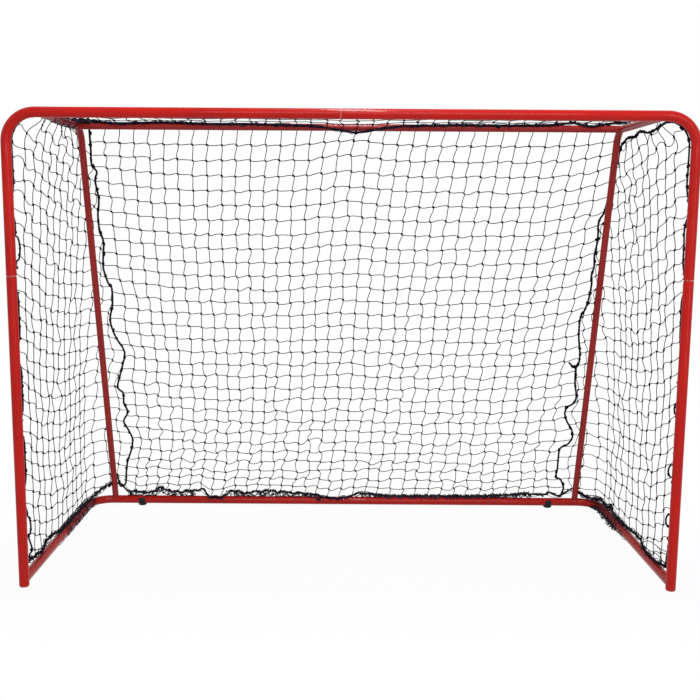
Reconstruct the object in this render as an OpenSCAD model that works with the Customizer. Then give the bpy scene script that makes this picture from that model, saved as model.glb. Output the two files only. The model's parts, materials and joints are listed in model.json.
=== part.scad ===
// Hockey goal: a plugged frame of round painted tube with a knotted net.
// +X runs along the crossbar, +Y from the mouth to the rear, +Z up from the floor.
// Pieces are drawn with Y = 0 in the plane of the mouth. placed() then moves the part so that
// its origin is the middle of its footprint, on the floor.

/* [Opening] */
// Clear width between the posts
opening_w = 1600; // [1200:10:1830]
// Clear height under the crossbar
opening_h = 1150; // [950:10:1220]
// Distance from the mouth to the rear bar, centre to centre
base_depth = 712; // [600:1:900]
// Distance from the mouth to the rear top bar, centre to centre
top_depth = 364; // [250:1:480]

/* [Front and base tube] */
// Outside diameter of the front and base tube
tube_d = 25; // [22:0.5:30]
// Wall of the front and base tube
tube_wall = 1.5; // [1:0.1:2]
// Bend radius of the frame corners, on the centreline of the tube
corner_r = 70; // [55:1:72]
// Height of the seam in each post
post_seam_z = 778; // [600:1:820]
// Height of the base tube's centre above the floor
base_z = 18; // [17.5:0.5:30]

/* [Rear hoops] */
// Outside diameter of the hoops and of the rear top bar
hoop_d = 19; // [17:0.5:22]
// Wall of the hoops and of the rear top bar
hoop_wall = 1.2; // [1:0.1:1.6]
// Distance of each hoop from the centreline of its post
hoop_inset = 74; // [72:0.5:120]
// Bend radius at the top of each strut, on the centreline of the tube
hoop_bend_r = 52; // [30:1:80]

/* [Plugged joints] */
// Length of a drawn-in tube end inside the next tube
spigot_l = 50; // [44:1:80]
// Length of the cone between the full tube and its drawn-in end
swage_l = 3; // [2:0.5:6]
// Length of the welded stubs that tubes plug over
stub_l = 50; // [40:1:70]
// Radial clearance of a plugged joint
plug_clear = 0.1; // [0.05:0.05:0.3]
// Gap between a coped tube end and the tube that it meets
seam_gap = 0.3; // [0.2:0.1:1]

/* [Snap buttons] */
// Diameter of a button
button_d = 6; // [5:0.5:7]
// Height of a button above its tube
button_proud = 2.5; // [2:0.1:3]
// Distance of a button from the seam that it locks
button_in = 26; // [22:1:32]
// Radial clearance of a button in its holes
button_clear = 0.08; // [0.05:0.01:0.1]
// Diameter of the flange that keeps a button in its tube
flange_d = 9; // [8:0.5:10]
// Thickness of that flange
flange_t = 1.2; // [1:0.1:1.6]
// Width of a leaf spring
spring_w = 5; // [4:0.5:6]
// Length of a leaf spring from its button to its fold
spring_l = 19; // [15:1:20]
// Thickness of the spring strip
spring_t = 0.6; // [0.4:0.1:0.8]
// Gap around the flange and the spring in their tube
spring_clear = 0.2; // [0.1:0.05:0.4]

/* [Plugs and feet] */
// Height of the visible head of a post plug
plug_head_h = 5; // [4.5:0.1:5.4]
// Radius on the edge of that head
plug_edge_r = 4; // [2:0.5:4.5]
// Length of a plug inside its post
plug_l = 24; // [12:1:40]
// Distance between the two rubber feet, centre to centre
foot_spacing = 1305; // [900:5:1380]
// Diameter of the round pad of a rubber foot
foot_d = 26; // [22:0.5:34]
// Height of that pad
foot_pad_h = 9; // [7:0.5:12]
// Radius on the lower edge of that pad
foot_edge_r = 4; // [2:0.5:5]
// Width of the clip that holds a rubber foot on the rear bar
foot_clip_w = 19; // [12:1:24]
// Wall of that clip
foot_wall = 2; // [1.5:0.5:4]
// Height that the clip reaches above the centre of the rear bar
foot_rise = 7; // [3:0.5:9]
// Gap between a rubber foot and the bar
foot_clear = 0.05; // [0.05:0.05:0.2]

/* [Net] */
// Diameter of the border ropes
rope_d = 6.5; // [5:0.5:8]
// Diameter of the lacing twine
lace_d = 2.5; // [2:0.5:4]
// Distance between the lacing loops
lace_pitch = 120; // [80:5:200]
// Width and thickness of a net strand
strand = 3; // [2:0.5:4]
// Clear gap between the net, the ropes and what holds them
soft_gap = 0.3; // [0.2:0.1:1]
// Gaps of the back panel across the goal
back_gaps_x = 14; // [6:1:16]
// Gaps of the back panel from top to bottom
back_gaps_z = 10; // [5:1:12]
// Gaps of a side panel from front to back
side_gaps_y = 6; // [3:1:7]
// Gaps of a side panel from top to bottom
side_gaps_z = 10; // [5:1:11]
// Gaps of the top panel from front to back
top_gaps_y = 3; // [2:1:4]
// Distance of the rear seam ropes from the hoops
seam_inset = 35; // [25:1:80]

/* [Net hooks] */
// Wire diameter of a hook
hook_d = 3; // [2:0.5:4]
// Distance between hooks
hook_pitch = 180; // [120:10:300]
// Height of the lowest hook on a post
hook_low_z = 225; // [100:5:250]
// Gap between a hook's ring and the tube that carries it
hook_stand = 1.5; // [1:0.5:4]
// Part of a circle that a hook on a post closes around the rope
hook_angle = 300; // [240:5:320]
// Part of a circle that a hook on the crossbar closes under the rope, open upwards
bar_hook_angle = 190; // [180:5:230]
// Diameter of the peg that carries a ring, beyond that of its wire
hook_peg_more = 1; // [0.5:0.5:2]

/* [Hidden] */
$fn = 48;

frame_red = "#c4261d";
rear_red = "#a02a2c";
steel = "silver";
rubber_black = "#1b1b1d";
net_black = "#14161c";

tube_r = tube_d / 2;
hoop_r = hoop_d / 2;
rope_r = rope_d / 2;
post_x = opening_w / 2 + tube_r;
top_z = opening_h + tube_r;
hoop_x = post_x - hoop_inset;
// Middle between the front of the posts and what reaches furthest back around the rear bar
rear_reach = max(foot_d / 2, tube_r + max(foot_wall, button_proud, soft_gap + lace_d));
mid_y = (base_depth + rear_reach - tube_r) / 2;
// Both halves of a bar are cut to one length, so their seam lies half a spigot off centre
seam_x = -spigot_l / 2;

// Slant of the struts: tangent from the bend at the top to the centre of the rear bar
strut_fall = [base_depth - top_depth, top_z - hoop_bend_r - base_z];
strut_turn = atan2(strut_fall[1], strut_fall[0]) + asin(hoop_bend_r / norm(strut_fall));
strut_l = sqrt(strut_fall * strut_fall - hoop_bend_r * hoop_bend_r);

// Ropes: the bottom rope lies on the lacing, the front one in its hooks, the top one on the rear top bar
lace_h = soft_gap + lace_d;
bottom_rope_z = base_z + tube_r + lace_h + soft_gap + rope_r;
bottom_rope_back = rope_r + 2 * soft_gap + hoop_r / sin(strut_turn)
    - (bottom_rope_z - base_z) / tan(strut_turn);
bottom_rope_y = base_depth + max(0, ceil(bottom_rope_back));
top_rope_z = top_z + hoop_r + lace_h + soft_gap + rope_r;
front_rope_y = tube_r + hook_stand + hook_d + soft_gap + rope_r;
front_rope_lift = hoop_r + soft_gap + rope_r;
hook_ring_r = rope_r + soft_gap + hook_d / 2;

// Net panels
net_low_z = bottom_rope_z + rope_r + soft_gap + strand / 2;
net_front_y = front_rope_y + hook_ring_r + hook_d / 2 + soft_gap + strand / 2;
side_x = hoop_x + hoop_r + 2 * soft_gap + strand / 2;
back_top_y = top_depth + hoop_r + lace_h + soft_gap + strand / 2;
back_rope_x = hoop_x - seam_inset;
back_x = back_rope_x - rope_r - soft_gap - strand / 2;
top_net_z = top_z + hoop_r + soft_gap + strand / 2;
top_net_y = top_depth - hoop_r - strand / 2;
corner_arc_l = corner_r * PI / 2;

// Radii of a drawn-in tube end or stub, outside and inside
function plug_r(d, wall) = d / 2 - wall - plug_clear;
function plug_bore_r(d, wall) = plug_r(d, wall) - wall;

// Height of a button's flange above the axis of its tube, so that it clears the round bore
function flange_z(d, wall) =
    sqrt(pow(plug_bore_r(d, wall), 2) - pow(flange_d / 2, 2)) - spring_clear - flange_t;

// Where a half bar ends, measured in the right-hand drawing of that half
function bar_end(s) = s > 0 ? seam_x : -seam_x;

// Evenly pitched places, an even number of them, on both sides of the middle
function pitched(reach, pitch) =
    let (n = floor((reach - pitch / 2) / pitch) + 1)
    [for (k = [-n : n - 1]) (k + 0.5) * pitch];

// A point at distance s along a leg, round a frame corner and on: [inward, forward]
function round_corner(s, leg) =
    s <= leg ? [0, s]
    : s <= leg + corner_arc_l
        ? let (t = (s - leg) / corner_r * 180 / PI)
            [corner_r * (1 - cos(t)), leg + corner_r * sin(t)]
        : [corner_r + s - leg - corner_arc_l, leg + corner_r];

// Length of that path up to a given distance inward
function corner_path_l(inward, leg) =
    inward <= corner_r
        ? leg + corner_r * acos(1 - inward / corner_r) * PI / 180
        : leg + corner_arc_l + inward - corner_r;

module placed() {
    translate([0, -mid_y, 0])
        children();
}

module on_side(s) {
    if (s > 0)
        placed() children();
    else
        mirror([1, 0, 0])
            placed() children();
}

// Straight tube from z = 0
module tube(l, d, wall) {
    difference() {
        cylinder(h = l, d = d);
        translate([0, 0, -1])
            cylinder(h = l + 2, d = d - 2 * wall);
    }
}

// Straight tube from z = 0 to its seam, with a drawn-in end if male
module run(l, d, wall, male) {
    out_r = d / 2;
    in_r = out_r - wall;
    end_r = plug_r(d, wall);
    end_bore_r = plug_bore_r(d, wall);
    if (male)
        rotate_extrude()
            polygon([
                [in_r, 0], [out_r, 0], [out_r, l - swage_l], [end_r, l], [end_r, l + spigot_l],
                [end_bore_r, l + spigot_l], [end_bore_r, l], [in_r, l - swage_l]
            ]);
    else
        tube(l, d, wall);
}

// Tube bend about z, from +x towards +y
module bend(r, d, wall, angle) {
    rotate_extrude(angle = angle)
        translate([r, 0])
            difference() {
                circle(d = d);
                circle(d = d - 2 * wall);
            }
}

// Solid bend, for ropes and for cutting copes
module solid_bend(r, d, angle) {
    rotate_extrude(angle = angle)
        translate([r, 0])
            circle(d = d);
}

// Solid crossbar end with its corner, used to cope what meets it
module crossbar_cutter(d) {
    translate([post_x - corner_r, 0, top_z]) {
        rotate([0, -90, 0])
            cylinder(h = 2 * hoop_inset, d = d);
        translate([0, 0, -corner_r])
            rotate([90, 0, 0])
                solid_bend(corner_r, d, 90);
    }
}

// Solid rear bar end with its corner
module rear_bar_cutter(d) {
    translate([post_x - corner_r, base_depth, base_z]) {
        rotate([0, -90, 0])
            cylinder(h = 2 * hoop_inset, d = d);
        translate([0, -corner_r, 0])
            solid_bend(corner_r, d, 90);
    }
}

// Solid hoop around the place where the rear top bar meets it
module hoop_cutter(d) {
    translate([hoop_x, top_depth, top_z]) {
        rotate([90, 0, 0])
            cylinder(h = 3 * hoop_d, d = d);
        translate([0, 0, -hoop_bend_r])
            rotate([0, -90, 0])
                solid_bend(hoop_bend_r, d, strut_turn);
    }
}

// Places of the snap buttons: local z points out of the tube, local x along it
module at_crossbar_button() {
    translate([seam_x + button_in, 0, top_z])
        rotate([-90, 0, 0])
            children();
}

module at_post_button() {
    translate([post_x, 0, post_seam_z + button_in])
        rotate([0, -90, -90])
            children();
}

module at_base_button() {
    translate([post_x, tube_r + button_in, base_z])
        rotate([90, 0, 90])
            children();
}

module at_rear_bar_button() {
    translate([seam_x + button_in, base_depth, base_z])
        rotate([-90, 0, 0])
            children();
}

module at_top_bar_button() {
    translate([seam_x + button_in, top_depth, top_z])
        rotate([-90, 0, 0])
            children();
}

module button_hole(d) {
    cylinder(h = d, d = button_d + 2 * button_clear);
}

module snap_button(d, wall) {
    low = flange_z(d, wall);
    head = d / 2 + button_proud;
    color(steel) {
        translate([0, 0, low])
            cylinder(h = flange_t, d = flange_d);
        translate([0, 0, low])
            cylinder(h = head - button_d / 2 - low, d = button_d);
        translate([0, 0, head - button_d / 2])
            sphere(d = button_d);
    }
}

// Folded strip under the flange of a button, lying against the far side of the bore
module leaf_spring(d, wall) {
    top = flange_z(d, wall) - spring_clear / 4;
    low = spring_clear - sqrt(pow(plug_bore_r(d, wall), 2) - pow(spring_w / 2, 2));
    near = flange_d / 2;
    color(steel)
        rotate([90, 0, 0])
            linear_extrude(spring_w, center = true)
                polygon([
                    [near, top], [-near, top], [-spring_l, low], [near, low],
                    [near, low + spring_t], [-spring_l + 3 * spring_t, low + spring_t],
                    [-near + spring_t, top - spring_t], [near, top - spring_t]
                ]);
}

module button_crossbar() {
    placed()
        at_crossbar_button() snap_button(tube_d, tube_wall);
}

module button_post(s) {
    on_side(s)
        at_post_button() snap_button(tube_d, tube_wall);
}

module button_base(s) {
    on_side(s)
        at_base_button() snap_button(tube_d, tube_wall);
}

module button_rear_bar() {
    placed()
        at_rear_bar_button() snap_button(tube_d, tube_wall);
}

module button_top_bar() {
    placed()
        at_top_bar_button() snap_button(hoop_d, hoop_wall);
}

module spring_crossbar() {
    placed()
        at_crossbar_button() leaf_spring(tube_d, tube_wall);
}

module spring_post(s) {
    on_side(s)
        at_post_button() leaf_spring(tube_d, tube_wall);
}

module spring_base(s) {
    on_side(s)
        at_base_button() leaf_spring(tube_d, tube_wall);
}

module spring_rear_bar() {
    placed()
        at_rear_bar_button() leaf_spring(tube_d, tube_wall);
}

module spring_top_bar() {
    placed()
        at_top_bar_button() leaf_spring(hoop_d, hoop_wall);
}

module upper_frame(s) {
    color(frame_red)
        difference() {
            on_side(s) {
                translate([post_x, 0, post_seam_z])
                    tube(top_z - corner_r - post_seam_z, tube_d, tube_wall);
                translate([post_x - corner_r, 0, top_z - corner_r])
                    rotate([90, 0, 0])
                        bend(corner_r, tube_d, tube_wall, 90);
                translate([post_x - corner_r, 0, top_z])
                    rotate([0, -90, 0])
                        run(post_x - corner_r - bar_end(s), tube_d, tube_wall, s < 0);
            }
            on_side(s)
                at_post_button() button_hole(tube_d);
            placed()
                at_crossbar_button() button_hole(tube_d);
        }
}

module lower_post(s) {
    color(frame_red)
        on_side(s)
            difference() {
                translate([post_x, 0, plug_head_h])
                    run(post_seam_z - plug_head_h, tube_d, tube_wall, true);
                at_post_button() button_hole(tube_d);
            }
}

// End plug with a round-edged head that the post stands on
module post_plug(s) {
    edge_x = tube_r - plug_edge_r;
    color(frame_red)
        on_side(s)
            translate([post_x, 0, 0])
                rotate_extrude() {
                    square([edge_x, plug_head_h]);
                    translate([0, plug_edge_r])
                        square([tube_r, plug_head_h - plug_edge_r]);
                    translate([edge_x, plug_edge_r])
                        intersection() {
                            circle(r = plug_edge_r);
                            translate([0, -plug_edge_r])
                                square(plug_edge_r);
                        }
                    square([plug_r(tube_d, tube_wall), plug_head_h + plug_l]);
                }
}

module base_half(s) {
    color(frame_red)
        difference() {
            on_side(s)
                difference() {
                    union() {
                        translate([post_x, 0, base_z])
                            rotate([-90, 0, 0])
                                tube(base_depth - corner_r, tube_d, tube_wall);
                        translate([post_x - corner_r, base_depth - corner_r, base_z])
                            bend(corner_r, tube_d, tube_wall, 90);
                        translate([post_x - corner_r, base_depth, base_z])
                            rotate([0, -90, 0])
                                run(post_x - corner_r - bar_end(s), tube_d, tube_wall, s < 0);
                    }
                    translate([post_x, 0, 0])
                        cylinder(h = 2 * base_z + tube_d, d = tube_d + 2 * seam_gap);
                    at_base_button() button_hole(tube_d);
                }
            placed()
                at_rear_bar_button() button_hole(tube_d);
        }
}

// Stub on the back of a post, for the side tube
module base_stub(s) {
    color(steel)
        on_side(s)
            difference() {
                translate([post_x, 0, base_z])
                    rotate([-90, 0, 0])
                        tube(tube_r + stub_l, 2 * plug_r(tube_d, tube_wall), tube_wall);
                translate([post_x, 0, 0])
                    cylinder(h = 2 * base_z + tube_d, d = tube_d);
                at_base_button() button_hole(tube_d);
            }
}

// One tube from the crossbar back, round the top bend and down to the rear bar
module side_hoop(s) {
    color(rear_red)
        on_side(s)
            difference() {
                union() {
                    translate([hoop_x, 0, top_z])
                        rotate([-90, 0, 0])
                            tube(top_depth, hoop_d, hoop_wall);
                    translate([hoop_x, top_depth, top_z - hoop_bend_r])
                        rotate([0, -90, 0]) {
                            bend(hoop_bend_r, hoop_d, hoop_wall, strut_turn);
                            rotate([0, 0, strut_turn])
                                translate([hoop_bend_r, 0, 0])
                                    rotate([-90, 0, 0])
                                        tube(strut_l, hoop_d, hoop_wall);
                        }
                }
                crossbar_cutter(tube_d + 2 * seam_gap);
                rear_bar_cutter(tube_d + 2 * seam_gap);
            }
}

// Stub on the back of the crossbar, for a hoop
module hoop_stub(s) {
    color(steel)
        on_side(s)
            difference() {
                translate([hoop_x, 0, top_z])
                    rotate([-90, 0, 0])
                        tube(tube_r + stub_l, 2 * plug_r(hoop_d, hoop_wall), hoop_wall);
                crossbar_cutter(tube_d);
            }
}

// Stub on the rear bar, for the foot of a strut
module strut_stub(s) {
    color(steel)
        on_side(s)
            difference() {
                translate([hoop_x, base_depth, base_z])
                    rotate([90 - strut_turn, 0, 0])
                        tube(tube_r + stub_l, 2 * plug_r(hoop_d, hoop_wall), hoop_wall);
                rear_bar_cutter(tube_d);
            }
}

module rear_top_bar(s) {
    color(rear_red)
        difference() {
            on_side(s)
                difference() {
                    translate([hoop_x, top_depth, top_z])
                        rotate([0, -90, 0])
                            run(hoop_x - bar_end(s), hoop_d, hoop_wall, s < 0);
                    hoop_cutter(hoop_d + 2 * seam_gap);
                }
            placed()
                at_top_bar_button() button_hole(hoop_d);
        }
}

// Stub on the inner side of a hoop, for the rear top bar
module top_bar_stub(s) {
    color(steel)
        on_side(s)
            difference() {
                translate([hoop_x, top_depth, top_z])
                    rotate([0, -90, 0])
                        tube(hoop_r + stub_l, 2 * plug_r(hoop_d, hoop_wall), hoop_wall);
                hoop_cutter(hoop_d);
            }
}

// Round rubber pad with a clip that snaps on to the rear bar from below
module foot(s) {
    foot_r = foot_d / 2;
    edge_x = foot_r - foot_edge_r;
    clip_r = tube_r + foot_wall;
    color(rubber_black)
        on_side(s)
            translate([foot_spacing / 2, base_depth, 0])
                difference() {
                    union() {
                        rotate_extrude() {
                            square([edge_x, foot_pad_h]);
                            translate([0, foot_edge_r])
                                square([foot_r, foot_pad_h - foot_edge_r]);
                            translate([edge_x, foot_edge_r])
                                intersection() {
                                    circle(r = foot_edge_r);
                                    translate([0, -foot_edge_r])
                                        square(foot_edge_r);
                                }
                        }
                        translate([-foot_clip_w / 2, 0, base_z])
                            rotate([0, 90, 0])
                                cylinder(h = foot_clip_w, r = clip_r);
                    }
                    translate([-foot_r - foot_clip_w, 0, base_z])
                        rotate([0, 90, 0])
                            cylinder(h = 2 * (foot_r + foot_clip_w), r = tube_r + foot_clear);
                    translate([-foot_clip_w, -2 * clip_r, base_z + foot_rise])
                        cube([2 * foot_clip_w, 4 * clip_r, clip_r]);
                }
}

// Closed lattice over a patch given as a function of u and v, each from 0 to 1
module net_panel(patch, nu, nv) {
    e = 0.001;
    function inside(t) = min(1 - e, max(e, t));
    function face_normal(u, v) =
        let (
            a = inside(u),
            b = inside(v),
            n = cross(patch(a + e, b) - patch(a - e, b), patch(a, b + e) - patch(a, b - e))
        )
        n / norm(n);
    function lifted(u, v, h) = patch(u, v) + h * face_normal(u, v);
    // Share of u and v that half a strand takes up in cell i, j
    function half_u(i, j) =
        strand / 2 / nu / norm(patch((i + 1) / nu, (j + 0.5) / nv) - patch(i / nu, (j + 0.5) / nv));
    function half_v(i, j) =
        strand / 2 / nv / norm(patch((i + 0.5) / nu, (j + 1) / nv) - patch((i + 0.5) / nu, j / nv));
    knots = (nu + 1) * (nv + 1);
    cells = nu * nv;
    layer = knots + 4 * cells;
    function knot(i, j) = i * (nv + 1) + j;
    function gap(i, j, c) = knots + 4 * (i * nv + j) + c;
    ring = [[0, 0], [1, 0], [1, 1], [0, 1]];
    points = [
        for (h = [strand / 2, -strand / 2])
            each concat(
                [for (i = [0 : nu], j = [0 : nv]) lifted(i / nu, j / nv, h)],
                [
                    for (i = [0 : nu - 1], j = [0 : nv - 1], c = ring)
                        lifted(
                            (i + c[0]) / nu + (1 - 2 * c[0]) * half_u(i, j),
                            (j + c[1]) / nv + (1 - 2 * c[1]) * half_v(i, j),
                            h
                        )
                ]
            )
    ];
    faces = [
        for (i = [0 : nu - 1], j = [0 : nv - 1], c = [0 : 3])
            let (
                d = (c + 1) % 4,
                k0 = knot(i + ring[c][0], j + ring[c][1]),
                k1 = knot(i + ring[d][0], j + ring[d][1]),
                g0 = gap(i, j, c),
                g1 = gap(i, j, d)
            )
            each [
                [k1, k0, g0], [k1, g0, g1],
                [k0 + layer, k1 + layer, g0 + layer], [k1 + layer, g1 + layer, g0 + layer],
                [g0, g0 + layer, g1], [g1, g0 + layer, g1 + layer]
            ],
        for (i = [0 : nu - 1], j = [0, nv])
            let (
                k0 = j == 0 ? knot(i, j) : knot(i + 1, j),
                k1 = j == 0 ? knot(i + 1, j) : knot(i, j)
            )
            each [[k0, k1, k0 + layer], [k1, k1 + layer, k0 + layer]],
        for (j = [0 : nv - 1], i = [0, nu])
            let (
                k0 = i == 0 ? knot(i, j + 1) : knot(i, j),
                k1 = i == 0 ? knot(i, j) : knot(i, j + 1)
            )
            each [[k0, k1, k0 + layer], [k1, k1 + layer, k0 + layer]]
    ];
    polyhedron(points, faces);
}

// Edges of a side panel: behind the post, over the side tube, beside the strut, beside the hoop
post_leg = top_z - corner_r - net_low_z;
floor_leg = base_depth - corner_r - net_front_y;
function side_front(v) =
    let (p = round_corner(v * corner_path_l(post_x - side_x, post_leg), post_leg))
    [post_x - p[0], net_front_y, net_low_z + p[1]];
function side_bottom(u) =
    let (p = round_corner(u * corner_path_l(post_x - side_x, floor_leg), floor_leg))
    [post_x - p[0], net_front_y + p[1], net_low_z];
side_peak = [side_x, top_depth, side_front(1)[2]];
function side_back(v) = side_bottom(1) * (1 - v) + side_peak * v;
function side_top(u) = side_front(1) * (1 - u) + side_peak * u;
function side_patch(u, v) =
    side_bottom(u) * (1 - v) + side_top(u) * v + side_front(v) * (1 - u) + side_back(v) * u
    - side_bottom(0) * (1 - u) * (1 - v) - side_bottom(1) * u * (1 - v)
    - side_front(1) * (1 - u) * v - side_peak * u * v;

module net_side(s) {
    color(net_black)
        on_side(s)
            net_panel(function(u, v) side_patch(u, v), side_gaps_y, side_gaps_z);
}

module net_back() {
    color(net_black)
        placed()
            net_panel(
                function(u, v) [
                    back_x * (2 * u - 1),
                    bottom_rope_y + (back_top_y - bottom_rope_y) * v,
                    net_low_z + (top_z - net_low_z) * v
                ],
                back_gaps_x, back_gaps_z
            );
}

module net_top() {
    color(net_black)
        placed()
            net_panel(
                function(u, v) [
                    side_x * (2 * u - 1),
                    net_front_y + (top_net_y - net_front_y) * v,
                    top_net_z
                ],
                back_gaps_x, top_gaps_y
            );
}

// Up one post, along the crossbar and down the other post
module rope_front() {
    bar_z = top_z + front_rope_lift;
    low_z = bottom_rope_z + rope_d;
    bar_half = post_x - corner_r;
    color(net_black) {
        for (s = [-1, 1])
            on_side(s) {
                translate([post_x, front_rope_y, low_z])
                    cylinder(h = bar_z - corner_r - low_z, d = rope_d);
                translate([bar_half, front_rope_y, bar_z - corner_r])
                    rotate([90, 0, 0])
                        solid_bend(corner_r, rope_d, 90);
            }
        placed()
            translate([-bar_half, front_rope_y, bar_z])
                rotate([0, 90, 0])
                    cylinder(h = 2 * bar_half, d = rope_d);
    }
}

// Along one side tube, behind the struts on the rear bar and back along the other side tube
module rope_bottom() {
    turn_r = corner_r + bottom_rope_y - base_depth;
    turn_x = post_x - turn_r;
    start_y = front_rope_y + rope_d;
    turn_y = bottom_rope_y - turn_r;
    color(net_black) {
        for (s = [-1, 1])
            on_side(s) {
                translate([post_x, start_y, bottom_rope_z])
                    rotate([-90, 0, 0])
                        cylinder(h = turn_y - start_y, d = rope_d);
                translate([turn_x, turn_y, bottom_rope_z])
                    solid_bend(turn_r, rope_d, 90);
            }
        placed()
            translate([-turn_x, bottom_rope_y, bottom_rope_z])
                rotate([0, 90, 0])
                    cylinder(h = 2 * turn_x, d = rope_d);
    }
}

module rope_top() {
    color(net_black)
        placed()
            translate([-side_x, top_depth, top_rope_z])
                rotate([0, 90, 0])
                    cylinder(h = 2 * side_x, d = rope_d);
}

// Beside the edge of the back panel, from the rear top bar to the bottom rope
module rope_seam(s) {
    top = [back_top_y, top_z];
    low = [bottom_rope_y, net_low_z];
    fall = top - low;
    color(net_black)
        on_side(s)
            translate([back_rope_x, low[0], low[1] + rope_r])
                rotate([atan2(-fall[0], fall[1]), 0, 0])
                    cylinder(h = norm(fall) - rope_d, d = rope_d);
}

// One closed loop of lacing about the z axis
module lace_loop(d) {
    rotate_extrude()
        translate([d / 2 + soft_gap + lace_d / 2, 0])
            circle(d = lace_d);
}

module lacing_rear_bar() {
    color(net_black)
        placed()
            for (x = pitched((foot_spacing - max(foot_d, foot_clip_w)) / 2 - lace_d, lace_pitch))
                translate([x, base_depth, base_z])
                    rotate([0, 90, 0])
                        lace_loop(tube_d);
}

module lacing_top_bar() {
    color(net_black)
        placed()
            for (x = pitched(back_x, lace_pitch))
                translate([x, top_depth, top_z])
                    rotate([0, 90, 0])
                        lace_loop(hoop_d);
}

module lacing_side(s) {
    color(net_black)
        on_side(s)
            for (y = [lace_pitch : lace_pitch : base_depth - corner_r - lace_d])
                translate([post_x, y, base_z])
                    rotate([90, 0, 0])
                        lace_loop(tube_d);
}

// Wire hook on a tube along local x, holding a rope at the given distance along local z.
// Its gap faces away from the tube, turned towards local -y
module hook(reach, angle, gap_turn) {
    difference() {
        union() {
            translate([0, 0, reach])
                rotate([0, 90, 0])
                    rotate([0, 0, 180 + gap_turn + (360 - angle) / 2])
                        rotate_extrude(angle = angle)
                            translate([hook_ring_r, 0])
                                circle(d = hook_d);
            cylinder(h = reach - hook_ring_r, d = hook_d + hook_peg_more);
        }
        translate([-hook_d, 0, 0])
            rotate([0, 90, 0])
                cylinder(h = 2 * hook_d, d = tube_d);
    }
}

module net_hooks_post(s) {
    color(rear_red)
        on_side(s)
            for (z = [hook_low_z : hook_pitch : top_z - corner_r - hook_d])
                translate([post_x, 0, z])
                    rotate([0, -90, -90])
                        hook(front_rope_y, hook_angle, 0);
}

module net_hooks_crossbar() {
    lean = atan2(front_rope_y, front_rope_lift);
    color(rear_red)
        placed()
            for (x = pitched(hoop_x - hoop_d, hook_pitch))
                translate([x, 0, top_z])
                    rotate([-lean, 0, 0])
                        hook(norm([front_rope_y, front_rope_lift]), bar_hook_angle, lean);
}

upper_frame(-1);  // upper_frame_left
upper_frame(1);  // upper_frame_right
lower_post(-1);  // lower_post_left
lower_post(1);  // lower_post_right
post_plug(-1);  // post_plug_left
post_plug(1);  // post_plug_right
base_half(-1);  // base_left
base_half(1);  // base_right
base_stub(-1);  // base_stub_left
base_stub(1);  // base_stub_right
side_hoop(-1);  // side_hoop_left
side_hoop(1);  // side_hoop_right
hoop_stub(-1);  // hoop_stub_left
hoop_stub(1);  // hoop_stub_right
strut_stub(-1);  // strut_stub_left
strut_stub(1);  // strut_stub_right
rear_top_bar(-1);  // rear_top_bar_left
rear_top_bar(1);  // rear_top_bar_right
top_bar_stub(-1);  // top_bar_stub_left
top_bar_stub(1);  // top_bar_stub_right
foot(-1);  // foot_left
foot(1);  // foot_right
button_crossbar();
button_post(-1);  // button_post_left
button_post(1);  // button_post_right
button_base(-1);  // button_base_left
button_base(1);  // button_base_right
button_rear_bar();
button_top_bar();
spring_crossbar();
spring_post(-1);  // spring_post_left
spring_post(1);  // spring_post_right
spring_base(-1);  // spring_base_left
spring_base(1);  // spring_base_right
spring_rear_bar();
spring_top_bar();
net_back();
net_side(-1);  // net_left
net_side(1);  // net_right
net_top();
rope_front();
rope_bottom();
rope_top();
rope_seam(-1);  // rope_seam_left
rope_seam(1);  // rope_seam_right
lacing_rear_bar();
lacing_top_bar();
lacing_side(-1);  // lacing_side_left
lacing_side(1);  // lacing_side_right
net_hooks_post(-1);  // net_hooks_left
net_hooks_post(1);  // net_hooks_right
net_hooks_crossbar();
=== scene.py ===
"""Looks of a sectional hockey goal: red painted tubes, snap buttons, rubber feet and a knotted net."""

import json
import logging
import math
from dataclasses import dataclass
from enum import Enum
from typing import Any, Dict, List, Optional, Sequence, Tuple, Union

import bmesh
import bpy
import numpy as np
from mathutils import Matrix, Vector


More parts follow.
